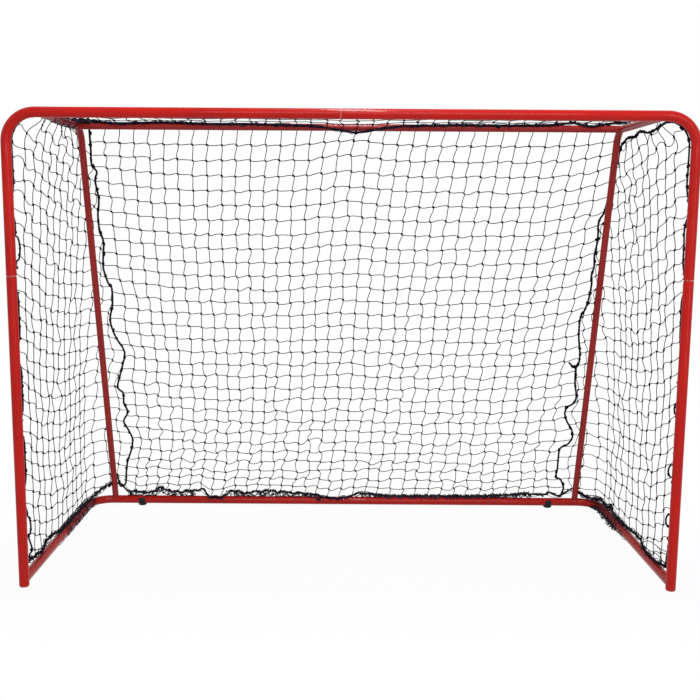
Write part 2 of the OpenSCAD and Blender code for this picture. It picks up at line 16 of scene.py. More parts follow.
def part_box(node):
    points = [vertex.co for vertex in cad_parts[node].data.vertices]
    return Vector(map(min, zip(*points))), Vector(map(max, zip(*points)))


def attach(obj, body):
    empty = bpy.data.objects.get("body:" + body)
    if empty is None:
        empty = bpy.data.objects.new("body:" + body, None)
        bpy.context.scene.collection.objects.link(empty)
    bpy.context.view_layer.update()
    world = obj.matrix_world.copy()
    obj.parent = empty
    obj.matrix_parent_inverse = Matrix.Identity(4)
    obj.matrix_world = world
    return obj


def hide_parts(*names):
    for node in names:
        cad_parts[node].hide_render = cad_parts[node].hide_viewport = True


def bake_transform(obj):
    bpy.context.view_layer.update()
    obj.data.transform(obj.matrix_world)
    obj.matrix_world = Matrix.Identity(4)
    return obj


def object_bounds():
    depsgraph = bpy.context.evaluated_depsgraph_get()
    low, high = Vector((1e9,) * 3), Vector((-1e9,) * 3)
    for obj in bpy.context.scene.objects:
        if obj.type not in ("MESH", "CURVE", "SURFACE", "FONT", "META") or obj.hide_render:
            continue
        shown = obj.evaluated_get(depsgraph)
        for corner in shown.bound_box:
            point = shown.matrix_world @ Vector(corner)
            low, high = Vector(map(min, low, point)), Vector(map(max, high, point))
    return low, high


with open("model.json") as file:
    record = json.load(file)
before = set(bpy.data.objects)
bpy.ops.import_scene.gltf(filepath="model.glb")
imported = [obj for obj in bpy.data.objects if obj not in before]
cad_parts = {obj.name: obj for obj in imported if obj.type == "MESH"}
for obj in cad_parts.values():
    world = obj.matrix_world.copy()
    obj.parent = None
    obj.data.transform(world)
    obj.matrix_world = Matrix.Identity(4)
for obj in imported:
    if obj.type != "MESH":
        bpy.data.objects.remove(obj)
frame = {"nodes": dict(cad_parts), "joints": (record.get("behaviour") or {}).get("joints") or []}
CAD_LOW, CAD_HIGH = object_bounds()

LOG = logging.getLogger("goal")
BODY = "frame"
SEED = 11
SEAM_X, SEAM_Z = -0.025, 0.778
WHITE = (1.0, 1.0, 1.0, 1.0)

Array = np.ndarray
Colour = Tuple[float, float, float]
Point = Tuple[float, float, float]
Route = Union[Sequence[Point], Array]


class Side(Enum):
    """The two sides of the goal, as the sign of x."""

    LEFT = -1
    RIGHT = 1

    @property
    def word(self) -> str:
        """The word that the nodes' names use."""
        return self.name.lower()


class Sock:
    """A node's output socket that takes part in Python arithmetic."""

    def __init__(self, bench: "Bench", socket: bpy.types.NodeSocket) -> None:
        """Keeps the socket and the bench that makes its nodes."""
        self.bench = bench
        self.socket = socket

    def _math(self, operation: str, first: "Value", second: "Value" = 0.0) -> "Sock":
        """Adds one Math node on two values."""
        return self.bench.node("ShaderNodeMath", {"operation": operation}, {0: first, 1: second})

    def __add__(self, other: "Value") -> "Sock":
        """Sum of two values."""
        return self._math("ADD", self, other)

    __radd__ = __add__

    def __sub__(self, other: "Value") -> "Sock":
        """This value less another."""
        return self._math("SUBTRACT", self, other)

    def __rsub__(self, other: "Value") -> "Sock":
        """Another value less this one."""
        return self._math("SUBTRACT", other, self)

    def __mul__(self, other: "Value") -> "Sock":
        """Product of two values."""
        return self._math("MULTIPLY", self, other)

    __rmul__ = __mul__

    def __abs__(self) -> "Sock":
        """The value without its sign."""
        return self._math("ABSOLUTE", self)

    def larger(self, other: "Value") -> "Sock":
        """The larger of two values."""
        return self._math("MAXIMUM", self, other)

    def band(self, low: float, high: float) -> "Sock":
        """Goes smoothly from 0 at low to 1 at high."""
        settings = {"interpolation_type": "SMOOTHSTEP"}
        return self.bench.node("ShaderNodeMapRange", settings, {0: self, 1: low, 2: high, 3: 0.0, 4: 1.0})


Value = Union[Sock, float]


class Bench:
    """Makes and links the nodes of one material or world."""

    def __init__(self, tree: bpy.types.NodeTree) -> None:
        """Starts with an empty node tree."""
        self.tree = tree
        self.tree.nodes.clear()

    def node(self, kind: str, settings: Dict, inputs: Dict, output: Union[int, str] = 0) -> Sock:
        """Adds a node.

        Args:
            kind: Blender's type name of the node.
            settings: its properties, set first.
            inputs: sockets by name or number, with a value or a Sock for each.
            output: which of its outputs to return.

        Returns:
            The chosen output.
        """
        made = self.tree.nodes.new(kind)
        for name, value in settings.items():
            setattr(made, name, value)
        for key, value in inputs.items():
            if isinstance(value, Sock):
                self.tree.links.new(value.socket, made.inputs[key])
            else:
                made.inputs[key].default_value = value
        return Sock(self, made.outputs[output] if made.outputs else None)

    def place(self) -> Sock:
        """The object's own coordinates, in metres."""
        return self.node("ShaderNodeTexCoord", {}, {}, "Object")

    def along(self, place: Sock, axis: str) -> Sock:
        """One coordinate of a place, by its letter."""
        return self.node("ShaderNodeSeparateXYZ", {}, {0: place}, axis)

    def noise(self, place: Sock, scale: float, detail: float = 2.0, distortion: float = 0.0) -> Sock:
        """Noise over a place, from 0 to 1."""
        inputs = {"Vector": place, "Scale": scale, "Detail": detail, "Distortion": distortion}
        return self.node("ShaderNodeTexNoise", {}, inputs)

    def stretched(self, place: Sock, scale: Point) -> Sock:
        """A place multiplied axis by axis."""
        return self.node("ShaderNodeVectorMath", {"operation": "MULTIPLY"}, {0: place, 1: scale})

    def mixed(self, share: Value, first: Union[Sock, Colour], second: Union[Sock, Colour]) -> Sock:
        """A colour between two colours."""
        ends = [c if isinstance(c, Sock) else (*c, 1.0) for c in (first, second)]
        return self.node("ShaderNodeMix", {"data_type": "RGBA"}, {0: share, 6: ends[0], 7: ends[1]}, 2)

    def bump(self, height: Sock, distance: float) -> Sock:
        """A normal from a height that is given as a share of distance."""
        return self.node("ShaderNodeBump", {}, {"Height": height, "Distance": distance})

    def seen(self) -> Sock:
        """1 for rays from the camera and for those that gloss or glass sends on."""
        kinds = ("Camera", "Glossy", "Transmission")
        rays = [self.node("ShaderNodeLightPath", {}, {}, f"Is {kind} Ray") for kind in kinds]
        return (rays[0] + rays[1] + rays[2]).band(0.0, 1.0)

    def surface(self, inputs: Dict) -> None:
        """Ends the material in one Principled shader."""
        shader = self.node("ShaderNodeBsdfPrincipled", {}, inputs)
        self.node("ShaderNodeOutputMaterial", {}, {"Surface": shader})


@dataclass(frozen=True)
class Finish:
    """A finish by name; its kinds say what it looks like."""

    name: str

    def material(self) -> bpy.types.Material:
        """The finish as a material, made once."""
        found = bpy.data.materials.get(self.name)
        if found is None:
            found = bpy.data.materials.new(self.name)
            found.use_nodes = True
            self.dress(Bench(found.node_tree))
        return found

    def dress(self, bench: Bench) -> None:
        """Makes the finish's nodes."""
        raise NotImplementedError


@dataclass(frozen=True)
class GlossPaint(Finish):
    """Sprayed gloss paint on steel tube, a little uneven, rubbed in spots, and pale along the seams from wear
    and a painted highlight.
    """

    colour: Colour
    deep: Colour
    rubbed: Colour = (0.34, 0.09, 0.08)
    # Pale colour at the seams: partly worn paint, partly a painted highlight on the seam's rim
    bare: Colour = (0.66, 0.42, 0.40)
    roughness: float = 0.30
    specular: float = 0.06
    coat: float = 0.24
    coat_roughness: float = 0.07
    peel: float = 420.0
    peel_depth: float = 0.00003
    seam_edge: Tuple[float, float] = (0.0004, 0.0022)
    seams: Tuple[Tuple[str, float], ...] = ()

    def dress(self, bench: Bench) -> None:
        """Tone in slow patches, orange peel, rubbed spots and a pale edge at each seam that is partly wear
        and partly painted highlight.
        """
        place = bench.place()
        tone = bench.noise(place, 5.0, 3.0).band(0.35, 0.7)
        spots = bench.noise(place, 55.0, 5.0, 0.6).band(0.68, 0.76)
        dust = bench.noise(place, 240.0, 4.0).band(0.45, 0.8)
        # Patches along the seams where the pale colour shows: worn paint and painted highlight
        seam_patches = bench.noise(place, 300.0, 3.0).band(0.40, 0.60)
        edge: Value = 0.0
        for axis, at in self.seams:
            edge = (1.0 - abs(bench.along(place, axis) - at).band(*self.seam_edge)) + edge
        paint = bench.mixed(tone, self.colour, self.deep)
        worn = bench.mixed(spots * 0.3, paint, self.rubbed)
        bench.surface({
            # The pale seam edge mixed in here is partly wear and partly a painted highlight
            "Base Color": bench.mixed(edge * seam_patches * 0.8, worn, self.bare),
            "Roughness": dust * 0.10 + spots * 0.15 + self.roughness,
            "Specular IOR Level": self.specular,
            "Coat Weight": self.coat - spots * (self.coat / 2),
            "Coat Roughness": self.coat_roughness,
            "Normal": bench.bump(bench.noise(place, self.peel, 1.0), self.peel_depth),
        })


@dataclass(frozen=True)
class MouldedPlastic(Finish):
    """Moulded plastic or rubber with a fine grain and scuffs."""

    colour: Colour
    scuff: Colour
    roughness: float = 0.5
    gloss: float = 0.5
    grain: float = 1400.0
    grain_depth: float = 0.00012

    def dress(self, bench: Bench) -> None:
        """Even colour, paler where scuffed, with a grained skin."""
        place = bench.place()
        scuffs = bench.noise(place, 110.0, 6.0, 1.0).band(0.52, 0.72)
        bench.surface({
            "Base Color": bench.mixed(scuffs * 0.5, self.colour, self.scuff),
            "Roughness": scuffs * 0.2 + self.roughness,
            "Specular IOR Level": self.gloss,
            "Normal": bench.bump(bench.noise(place, self.grain, 2.0), self.grain_depth),
        })


@dataclass(frozen=True)
class BareSteel(Finish):
    """Zinc plated steel with a dulled skin and a fine brushed grain."""

    colour: Colour
    dull: Colour
    roughness: float = 0.3
    brush: float = 700.0
    brush_stretch: Point = (1.0, 1.0, 12.0)
    brush_depth: float = 0.00006

    def dress(self, bench: Bench) -> None:
        """Cloudy plating, brushed across."""
        place = bench.place()
        clouds = bench.noise(place, 150.0, 4.0).band(0.35, 0.7)
        brush = bench.noise(bench.stretched(place, self.brush_stretch), self.brush, 2.0)
        bench.surface({
            "Base Color": bench.mixed(clouds, self.colour, self.dull),
            "Metallic": 1.0,
            "Roughness": clouds * 0.15 + self.roughness,
            "Normal": bench.bump(brush, self.brush_depth),
        })


@dataclass(frozen=True)
class TwistedFibre(Finish):
    """Dyed twisted or laid fibre, faded in places and dull."""

    colour: Colour
    faded: Colour
    fibre: float = 1600.0
    depth: float = 0.0005
    roughness: float = 0.75
    specular: float = 0.03

    def dress(self, bench: Bench) -> None:
        """Fine fibres on a slow change of tone."""
        place = bench.place()
        fade = bench.noise(place, 14.0, 3.0).band(0.45, 0.75)
        fibre = bench.noise(place, self.fibre, 3.0, 0.8)
        tone = bench.mixed(fade * 0.6, self.colour, self.faded)
        bench.surface({
            "Base Color": bench.mixed(fibre.band(0.5, 0.8) * 0.5, tone, self.faded),
            "Roughness": fibre * 0.2 + self.roughness,
            "Specular IOR Level": self.specular,
            "Normal": bench.bump(fibre, self.depth),
        })


FRONT_PAINT = GlossPaint(
    "front_tube_paint", (0.54, 0.007, 0.003), (0.46, 0.005, 0.003), seams=(("X", SEAM_X), ("Z", SEAM_Z))
)
# The base tubes carry the same red paint as the front frame; their darker colour is painted shade
BASE_PAINT_SHADED = GlossPaint("base_tube_paint_shaded", (0.46, 0.009, 0.005), (0.40, 0.007, 0.004))
# Darker still for the hoops, struts and hooks: painted shade on the same red paint
HOOP_PAINT_SHADED = GlossPaint("hoop_tube_paint_shaded", (0.36, 0.020, 0.019), (0.31, 0.016, 0.016), roughness=0.34)
PLUG_PLASTIC = MouldedPlastic("post_plug_plastic", (0.42, 0.015, 0.012), (0.28, 0.05, 0.045))
FOOT_RUBBER = MouldedPlastic(
    "black_foot_rubber", (0.008, 0.008, 0.010), (0.030, 0.026, 0.032), roughness=0.7, gloss=0.25
)
STEEL = BareSteel("plated_steel", (0.62, 0.62, 0.60), (0.42, 0.42, 0.43))
SPRING_STEEL = BareSteel("leaf_spring_steel", (0.42, 0.42, 0.44), (0.28, 0.28, 0.31), roughness=0.38)
TWINE = TwistedFibre("black_net_twine", (0.009, 0.009, 0.012), (0.024, 0.024, 0.032))
ROPE = TwistedFibre(
    "black_border_rope", (0.008, 0.006, 0.016), (0.018, 0.014, 0.034), fibre=1200.0, depth=0.0008
)
LACING = TwistedFibre("black_lacing_twine", (0.034, 0.026, 0.042), (0.085, 0.066, 0.100))

SLOT_FINISH: Dict[str, Finish] = {
    "frame_paint": FRONT_PAINT,
    "base_paint": BASE_PAINT_SHADED,
    "hoop_paint": HOOP_PAINT_SHADED,
    "hook_paint": HOOP_PAINT_SHADED,
    "plug_plastic": PLUG_PLASTIC,
    "foot_rubber": FOOT_RUBBER,
    "stub_steel": STEEL,
    "button_steel": STEEL,
    "spring_steel": SPRING_STEEL,
}


@dataclass(frozen=True)
class Bar:
    """A straight bar across the goal that twine and rope stay clear of."""

    y: float
    z: float
    radius: float

    def cleared(self, points: Array, half: float) -> Array:
        """Points moved out from the bar's axis until twine of that half thickness lies on its skin."""
        middle = np.array([self.y, self.z])
        out = points[:, 1:] - middle
        share = np.maximum((self.radius + half) / np.maximum(np.linalg.norm(out, axis=1), 1e-6), 1.0)
        return np.column_stack([points[:, 0], middle + out * share[:, None]])


@dataclass(frozen=True)
class GoalFrame:
    """Centre lines and radii of the tubes, read from the CAD nodes, in metres."""

    post_x: float
    bar_z: float
    tube_r: float
    rear_y: float
    base_z: float
    hoop_x: float
    hoop_r: float
    top_y: float
    hook_z: Tuple[float, ...]
    bar_hook_x: Tuple[float, ...]
    corner_r: float = 0.070
    hoop_bend_r: float = 0.052

    HOOK_HALF, POST_HOOKS, BAR_HOOKS = 0.002, 5, 8

    @classmethod
    def read(cls) -> "GoalFrame":
        """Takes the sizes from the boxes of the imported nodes."""
        post_low, post_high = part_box("lower_post_right")
        upper_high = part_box("upper_frame_right")[1]
        base_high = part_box("base_right")[1]
        hoop_low, hoop_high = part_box("side_hoop_right")
        top_low, top_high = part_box("rear_top_bar_right")
        hook_low, hook_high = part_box("net_hooks_right")
        hook_low_z, hook_high_z = hook_low.z + cls.HOOK_HALF, hook_high.z - cls.HOOK_HALF
        hook_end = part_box("net_hooks_crossbar")[1].x - cls.HOOK_HALF
        tube_r = (post_high.x - post_low.x) / 2
        return cls(
            post_x=(post_low.x + post_high.x) / 2,
            bar_z=upper_high.z - tube_r,
            tube_r=tube_r,
            rear_y=base_high.y - tube_r,
            base_z=base_high.z - tube_r,
            hoop_x=(hoop_low.x + hoop_high.x) / 2,
            hoop_r=(hoop_high.x - hoop_low.x) / 2,
            top_y=(top_low.y + top_high.y) / 2,
            hook_z=tuple(np.linspace(hook_low_z, hook_high_z, cls.POST_HOOKS)),
            bar_hook_x=tuple(np.linspace(-hook_end, hook_end, cls.BAR_HOOKS)),
        )

    @property
    def rear_bar(self) -> Bar:
        """The bar at the back of the base."""
        return Bar(self.rear_y, self.base_z, self.tube_r)

    @property
    def top_bar(self) -> Bar:
        """The rear top bar."""
        return Bar(self.top_y, self.bar_z, self.hoop_r)

    @property
    def strut_lean(self) -> float:
        """Tangent of the struts' angle to the vertical."""
        back = self.rear_y - self.top_y
        up = self.bar_z - self.hoop_bend_r - self.base_z
        return math.tan(math.atan2(back, up) - math.asin(self.hoop_bend_r / math.hypot(back, up)))

    def strut_y(self, z: Array) -> Array:
        """Centre line of the strut at a height, and of the hoop's bend above it."""
        above = np.asarray(z) - self.bar_z + self.hoop_bend_r
        straight = self.rear_y - self.strut_lean * (z - self.base_z)
        bend = self.top_y + np.sqrt(np.maximum(self.hoop_bend_r**2 - above**2, 0.0))
        return np.where(above > self.hoop_bend_r * math.sin(math.atan(self.strut_lean)), bend, straight)

    def base_path(self, along: Array) -> Tuple[Array, Array]:
        """Where the right base tube's centre line runs.

        Args:
            along: distance past the start of the corner bend, negative on the straight side tube.

        Returns:
            Its x and y.
        """
        turn = np.clip(along / self.corner_r, 0, math.pi / 2)
        straight = np.minimum(along, 0)
        x = self.post_x - self.corner_r * (1 - np.cos(turn))
        return x, self.rear_y - self.corner_r + straight + self.corner_r * np.sin(turn)


def unit(vectors: Array) -> Array:
    """Vectors of length one."""
    return vectors / np.maximum(np.linalg.norm(vectors, axis=-1, keepdims=True), 1e-12)


def along_line(line: Array) -> Array:
    """Distance of each point of a line from its start."""
    return np.concatenate([[0], np.cumsum(np.linalg.norm(np.diff(line, axis=0), axis=1))])


def at_places(places: Array, given: Array, values: Array) -> Array:
    """Points interpolated at places, coordinate by coordinate."""
    return np.stack([np.interp(places, given, values[:, k]) for k in range(3)], axis=-1)


def metres(rows: Sequence[Any], start: Union[float, Point] = 0.0) -> Array:
    """Rows of millimetres, counted from a start, as metres."""
    return np.array(rows, float) / 1000 + start


def between_ends(share: Array, rise: float) -> Array:
    """0 at both ends of a share, rising to 1 between them."""
    return np.clip(np.minimum(share, 1 - share) * rise, 0, 1)


def in_scene(name: str, data: bpy.types.ID) -> bpy.types.Object:
    """A new object of some data, linked to the scene."""
    made = bpy.data.objects.new(name, data)
    bpy.context.scene.collection.objects.link(made)
    return made


def smooth_route(points: Route, step: float, parts: int = 24) -> Array:
    """A smooth line through given points.

    Args:
        points: the points, in metres.
        step: spacing of the result.
        parts: straight parts between two points, before the line is spaced evenly.

    Returns:
        Points along the line, evenly spaced.
    """
    knots = np.array(points, float)
    ends = np.vstack([2 * knots[0] - knots[1], knots, 2 * knots[-1] - knots[-2]])
    share = np.linspace(0, 1, parts, endpoint=False)[:, None]
    pieces = []
    for a, b, c, d in zip(ends, ends[1:], ends[2:], ends[3:]):
        bend = 2 * a - 5 * b + 4 * c - d + share * (3 * (b - c) + d - a)
        pieces.append(b + 0.5 * share * ((c - a) + share * bend))
    line = np.vstack([*pieces, knots[-1:]])
    along = along_line(line)
    count = max(4, int(round(along[-1] / step)))
    return at_places(np.linspace(0, along[-1], count + 1), along, line)


class Yarn:
    """Gathers the tubes and knots of one piece and makes its mesh."""

    ROPE_SIDES, ROPE_STRANDS, GROOVE = 9, 3, 0.11
    TURN_POINTS, TURN_CHANGES, TURN_START = 14, 2, (0, 6)
    LOOSE, LOOSE_MOST, SLIP = 0.18, 0.007, 0.4
    KNOT_STEPS, KNOT_SIDES = 9, 4
    # Shares of a knot's width
    KNOT_REACH, KNOT_WAVE, KNOT_RISE, KNOT_STRAND = 0.28, 0.13, 0.17, 0.19
    KNOT_STRETCH, KNOT_SPIN = (1.15, 0.75, 1.0), 0.4

    def __init__(self, draw: int) -> None:
        """Starts with nothing but its own random numbers."""
        self.dice = np.random.default_rng(SEED + draw)
        self.points: List[Array] = []
        self.faces: List[Array] = []
        self.count = 0

    def _add(self, points: Array, faces: Sequence[Array]) -> None:
        """Adds points, and faces that count from the first of them."""
        self.points.append(points)
        self.faces.extend(f + self.count for f in faces)
        self.count += len(points)

    @staticmethod
    def _rings(paths: Array, radius: Array, sides: int) -> Array:
        """Rings of points round many paths at once.

        Args:
            paths: (tubes, points, 3).
            radius: one number, or (points, sides) for a shaped section.
            sides: points in a ring.

        Returns:
            (tubes, points, sides, 3).
        """
        tangent = unit(np.gradient(paths, axis=1))
        chord = np.abs(unit(paths[:, -1] - paths[:, 0] + 1e-9))
        normal = np.eye(3)[np.argmin(chord, axis=1)]
        normals = []
        for step in range(paths.shape[1]):
            along = tangent[:, step]
            normal = unit(normal - np.sum(normal * along, axis=1, keepdims=True) * along)
            normals.append(normal)
        first = np.stack(normals, axis=1)
        second = np.cross(tangent, first)
        angle = np.arange(sides) * (2 * math.pi / sides)
        ring = np.cos(angle)[:, None] * first[:, :, None] + np.sin(angle)[:, None] * second[:, :, None]
        spread = np.broadcast_to(radius, (paths.shape[1], sides))[None, :, :, None]
        return paths[:, :, None] + ring * spread

    def tubes(self, paths: Array, radius: Union[float, Array], sides: int = 5) -> None:
        """Adds closed tubes along many paths of as many points each."""
        tubes, steps = paths.shape[:2]
        rings = self._rings(paths, np.asarray(radius, float), sides)
        index = np.arange(tubes * steps * sides).reshape(tubes, steps, sides)
        around = np.roll(index, -1, axis=2)
        walls = np.stack([index[:, :-1], around[:, :-1], around[:, 1:], index[:, 1:]], axis=-1)
        caps = np.concatenate([index[:, 0, ::-1], index[:, -1]])
        self._add(rings.reshape(-1, 3), [walls.reshape(-1, 4), caps])

    def rope(self, line: Array, diameter: float, lay: float) -> None:
        """Adds one rope of three strands laid together.

        Args:
            line: its evenly spaced centre line.
            diameter: over the strands.
            lay: length in which a strand goes once round.
        """
        sides, groove = self.ROPE_SIDES, self.GROOVE
        turn = along_line(line)[:, None] * (2 * math.pi / lay)
        angle = np.arange(sides)[None] * (2 * math.pi / sides)
        section = diameter / 2 * (1 - groove + groove * np.cos(self.ROPE_STRANDS * (angle - turn)))
        self.tubes(line[None], section, sides)

    def wind(
        self,
        line: Array,
        radius: float,
        pitch: float,
        twine_d: float,
        over: float = 0.0,
        bar: Optional[Bar] = None,
    ) -> None:
        """Winds twine unevenly round a line.

        Args:
            line: the line to wind round.
            radius: least distance of the twine's centre from it.
            pitch: length of one turn; a negative one winds the other way.
            twine_d: thickness of the twine.
            over: how much further it stands off above, to pass over a rope.
            bar: a bar that it stays clear of.
        """
        along = along_line(line)
        turns = along[-1] / abs(pitch)
        place = np.linspace(0, along[-1], int(turns * self.TURN_POINTS) + 2)
        every = np.linspace(0, along[-1], int(turns * self.TURN_CHANGES) + 3)
        loose = self.LOOSE * min(radius, self.LOOSE_MOST)
        swell = np.interp(place, every, np.abs(self.dice.normal(0, loose, len(every))))
        slip = np.interp(place, every, self.dice.normal(0, self.SLIP * abs(pitch), len(every)))
        at = np.clip(place + slip, 0, along[-1])
        way = unit(at_places(at, along, np.gradient(line, axis=0)))
        up = np.eye(3)[np.argmin(np.abs(line[-1] - line[0]))]
        up = unit(up - np.sum(up * way, axis=1, keepdims=True) * way)
        angle = (2 * math.pi * place / pitch + self.dice.uniform(*self.TURN_START))[:, None]
        reach = radius + swell[:, None] + over * np.clip(np.cos(angle), 0, 1) ** 2
        path = at_places(at, along, line) + reach * (up * np.cos(angle) + np.cross(way, up) * np.sin(angle))
        path[:, 2] = np.maximum(path[:, 2], twine_d)
        self.tubes((bar.cleared(path, twine_d / 2) if bar else path)[None], twine_d / 2)

    def knots(self, centres: Array, first: Array, second: Array, low: float, high: float) -> None:
        """Adds small tied knots.

        Args:
            centres: (knots, 3).
            first: one direction of twine at each.
            second: the other direction of twine at each.
            low: smallest overall width.
            high: largest overall width.
        """
        steps, sides = self.KNOT_STEPS, self.KNOT_SIDES
        turn = np.linspace(0, 2 * math.pi, steps, endpoint=False)
        reach = self.KNOT_REACH + self.KNOT_WAVE * np.cos(3 * turn)
        rise = self.KNOT_RISE * np.sin(3 * turn)
        loop = np.stack([reach * np.cos(2 * turn), reach * np.sin(2 * turn), rise], axis=1)
        closed = np.vstack([loop, loop[:1]]) * self.KNOT_STRETCH
        shape = self._rings(closed[None], np.asarray(self.KNOT_STRAND), sides)[0, :-1].reshape(-1, 3)
        index = np.arange(steps * sides).reshape(steps, sides)
        ahead, around = np.roll(index, -1, axis=0), np.roll(index, -1, axis=1)
        walls = np.stack([index, around, np.roll(ahead, -1, axis=1), ahead], axis=-1).reshape(-1, 4)
        along, normal = unit(first), unit(np.cross(first, second))
        across = np.cross(normal, along)
        spin = self.dice.normal(0, self.KNOT_SPIN, len(centres))[:, None]
        axis_a = along * np.cos(spin) + across * np.sin(spin)
        axis_b = across * np.cos(spin) - along * np.sin(spin)
        spread = np.einsum("pk,nkc->npc", shape, np.stack([axis_a, axis_b, normal], axis=1))
        points = centres[:, None] + spread * self.dice.uniform(low, high, (len(centres), 1, 1))
        shift = (np.arange(len(centres)) * len(shape))[:, None, None]
        self._add(points.reshape(-1, 3), [(walls[None] + shift).reshape(-1, 4)])

    def lumps(self, line: Array, pitch: float, low: float, high: float, stray: float = 0.001) -> None:
        """Adds lashing knots along a line, about as far apart as pitch."""
        along = along_line(line)
        places = np.arange(pitch / 2, along[-1], pitch)
        places = places + self.dice.normal(0, pitch / 6, len(places))
        centres = at_places(places, along, line) + self.dice.normal(0, stray, (len(places), 3))
        ways = at_places(places, along, np.gradient(line, axis=0))
        self.knots(centres, ways, np.cross(ways, self.dice.normal(0, 1, ways.shape)), low, high)

    def build(self, name: str, finish: Finish, slot: str, *nodes: str) -> None:
        """Makes the piece, which rides on the goal's frame.

        Args:
            name: the piece's name.
            finish: what it is made of.
            slot: the record's material slot; not used.
            nodes: the CAD nodes that it stands for.
        """
        points = np.vstack(self.points)
        corners = np.concatenate([f.ravel() for f in self.faces])
        sizes = np.concatenate([np.full(len(f), f.shape[1]) for f in self.faces])
        mesh = bpy.data.meshes.new(name)
        mesh.vertices.add(len(points))
        mesh.vertices.foreach_set("co", points.astype(np.float32).ravel())
        mesh.loops.add(len(corners))
        mesh.loops.foreach_set("vertex_index", corners.astype(np.int32))
        mesh.polygons.add(len(sizes))
        mesh.polygons.foreach_set("loop_start", (np.cumsum(sizes) - sizes).astype(np.int32))
        mesh.polygons.foreach_set("use_smooth", np.ones(len(sizes), bool))
        mesh.update(calc_edges=True)
        mesh.validate()
        mesh.materials.append(finish.material())
        piece = in_scene(name, mesh)
        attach(piece, BODY)
        if nodes:
            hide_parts(*nodes)
        LOG.info("%s: %d faces", name, len(sizes))


@dataclass
class Crossings:
    """A net's crossings in two directions, and how far each lies inside the net's border."""

    points: Array
    inside: Array
    twist: Array
    rim_first: bool = True
    rim_second: bool = True
    alternate: float = 0.0
    knot_half: float = 0.0028
    knot_half_range: Tuple[float, float] = (0.6, 1.3)
    knot_lean: float = 0.85
    lean_spread: float = 0.35
    turn_spread: float = 0.65
    twine_spread: float = 0.35
    strand_points: int = 6
    shortest: float = 0.05

    def strands(self, dice: np.random.Generator) -> Tuple[Array, Array, Array, Array]:
        """Strands between neighbouring crossings.

        Args:
            dice: turns each knot, and the twine that leaves it, its own way.

        Returns:
            Paths of the strands, and the kept knots' centres and two directions.
        """
        first = np.gradient(self.points, axis=0)
        second = np.gradient(self.points, axis=1)
        normal = unit(np.cross(first, second))
        shape = self.points.shape[:2]
        lean = dice.normal(self.knot_lean, self.lean_spread, shape)[..., None]
        lie = unit(first) * np.cos(lean) + np.cross(normal, unit(first)) * np.sin(lean)
        half = lie * self.knot_half * dice.uniform(*self.knot_half_range, (*shape, 1))
        handed = 1.0 - 2.0 * (np.add.outer(np.arange(shape[0]), np.arange(shape[1])) % 2)
        knot_turn = dice.normal(0, self.turn_spread, shape) + self.alternate * handed
        paths = []
        for axis, tangent in ((0, first), (1, second)):
            turn = ((knot_turn + dice.normal(0, self.twine_spread, shape)) * self.twist)[..., None]
            turned = tangent * np.cos(turn) + np.cross(normal, tangent) * np.sin(turn)
            paths.append(self._between(axis, turned, half))
        kept = self.inside > 0
        kept[[0, -1]] &= self.rim_first
        kept[:, [0, -1]] &= self.rim_second
        return np.vstack(paths), self.points[kept], lie[kept], np.cross(normal, lie)[kept]

    def _between(self, axis: int, tangent: Array, half: Array) -> Array:
        """Curved strands along one axis, from the near end of one knot to the far end of the next."""
        lines = self.points.shape[axis]
        near, far = np.arange(lines - 1), np.arange(1, lines)

        def ends(values: Array) -> Tuple[Array, Array]:
            """Values at both ends, leaving out the border lines that a rope takes."""
            inner = np.take(values, np.arange(1, values.shape[1 - axis] - 1), axis=1 - axis)
            rest = values.shape[2:]
            return tuple(np.take(inner, which, axis=axis).reshape(-1, *rest) for which in (near, far))

        start, stop = ends(self.points + half)[0], ends(self.points - half)[1]
        start_way, stop_way = ends(tangent)
        start_in, stop_in = ends(self.inside)
        share = np.linspace(0, 1, self.strand_points)
        low = np.where(start_in < 0, start_in / np.minimum(start_in - stop_in, -1e-9), 0.0)
        high = np.where(stop_in < 0, start_in / np.maximum(start_in - stop_in, 1e-9), 1.0)
        used = ((start_in > 0) | (stop_in > 0)) & (high - low > self.shortest)
        s = (low[:, None] + (high - low)[:, None] * share)[used][..., None]
        a, b, ta, tb = (v[used][:, None] for v in (start, stop, start_way, stop_way))
        hold_a, hold_b = 2 * s**3 - 3 * s**2 + 1, 3 * s**2 - 2 * s**3
        return a * hold_a + ta * (s**3 - 2 * s**2 + s) + b * hold_b + tb * (s**3 - s**2)


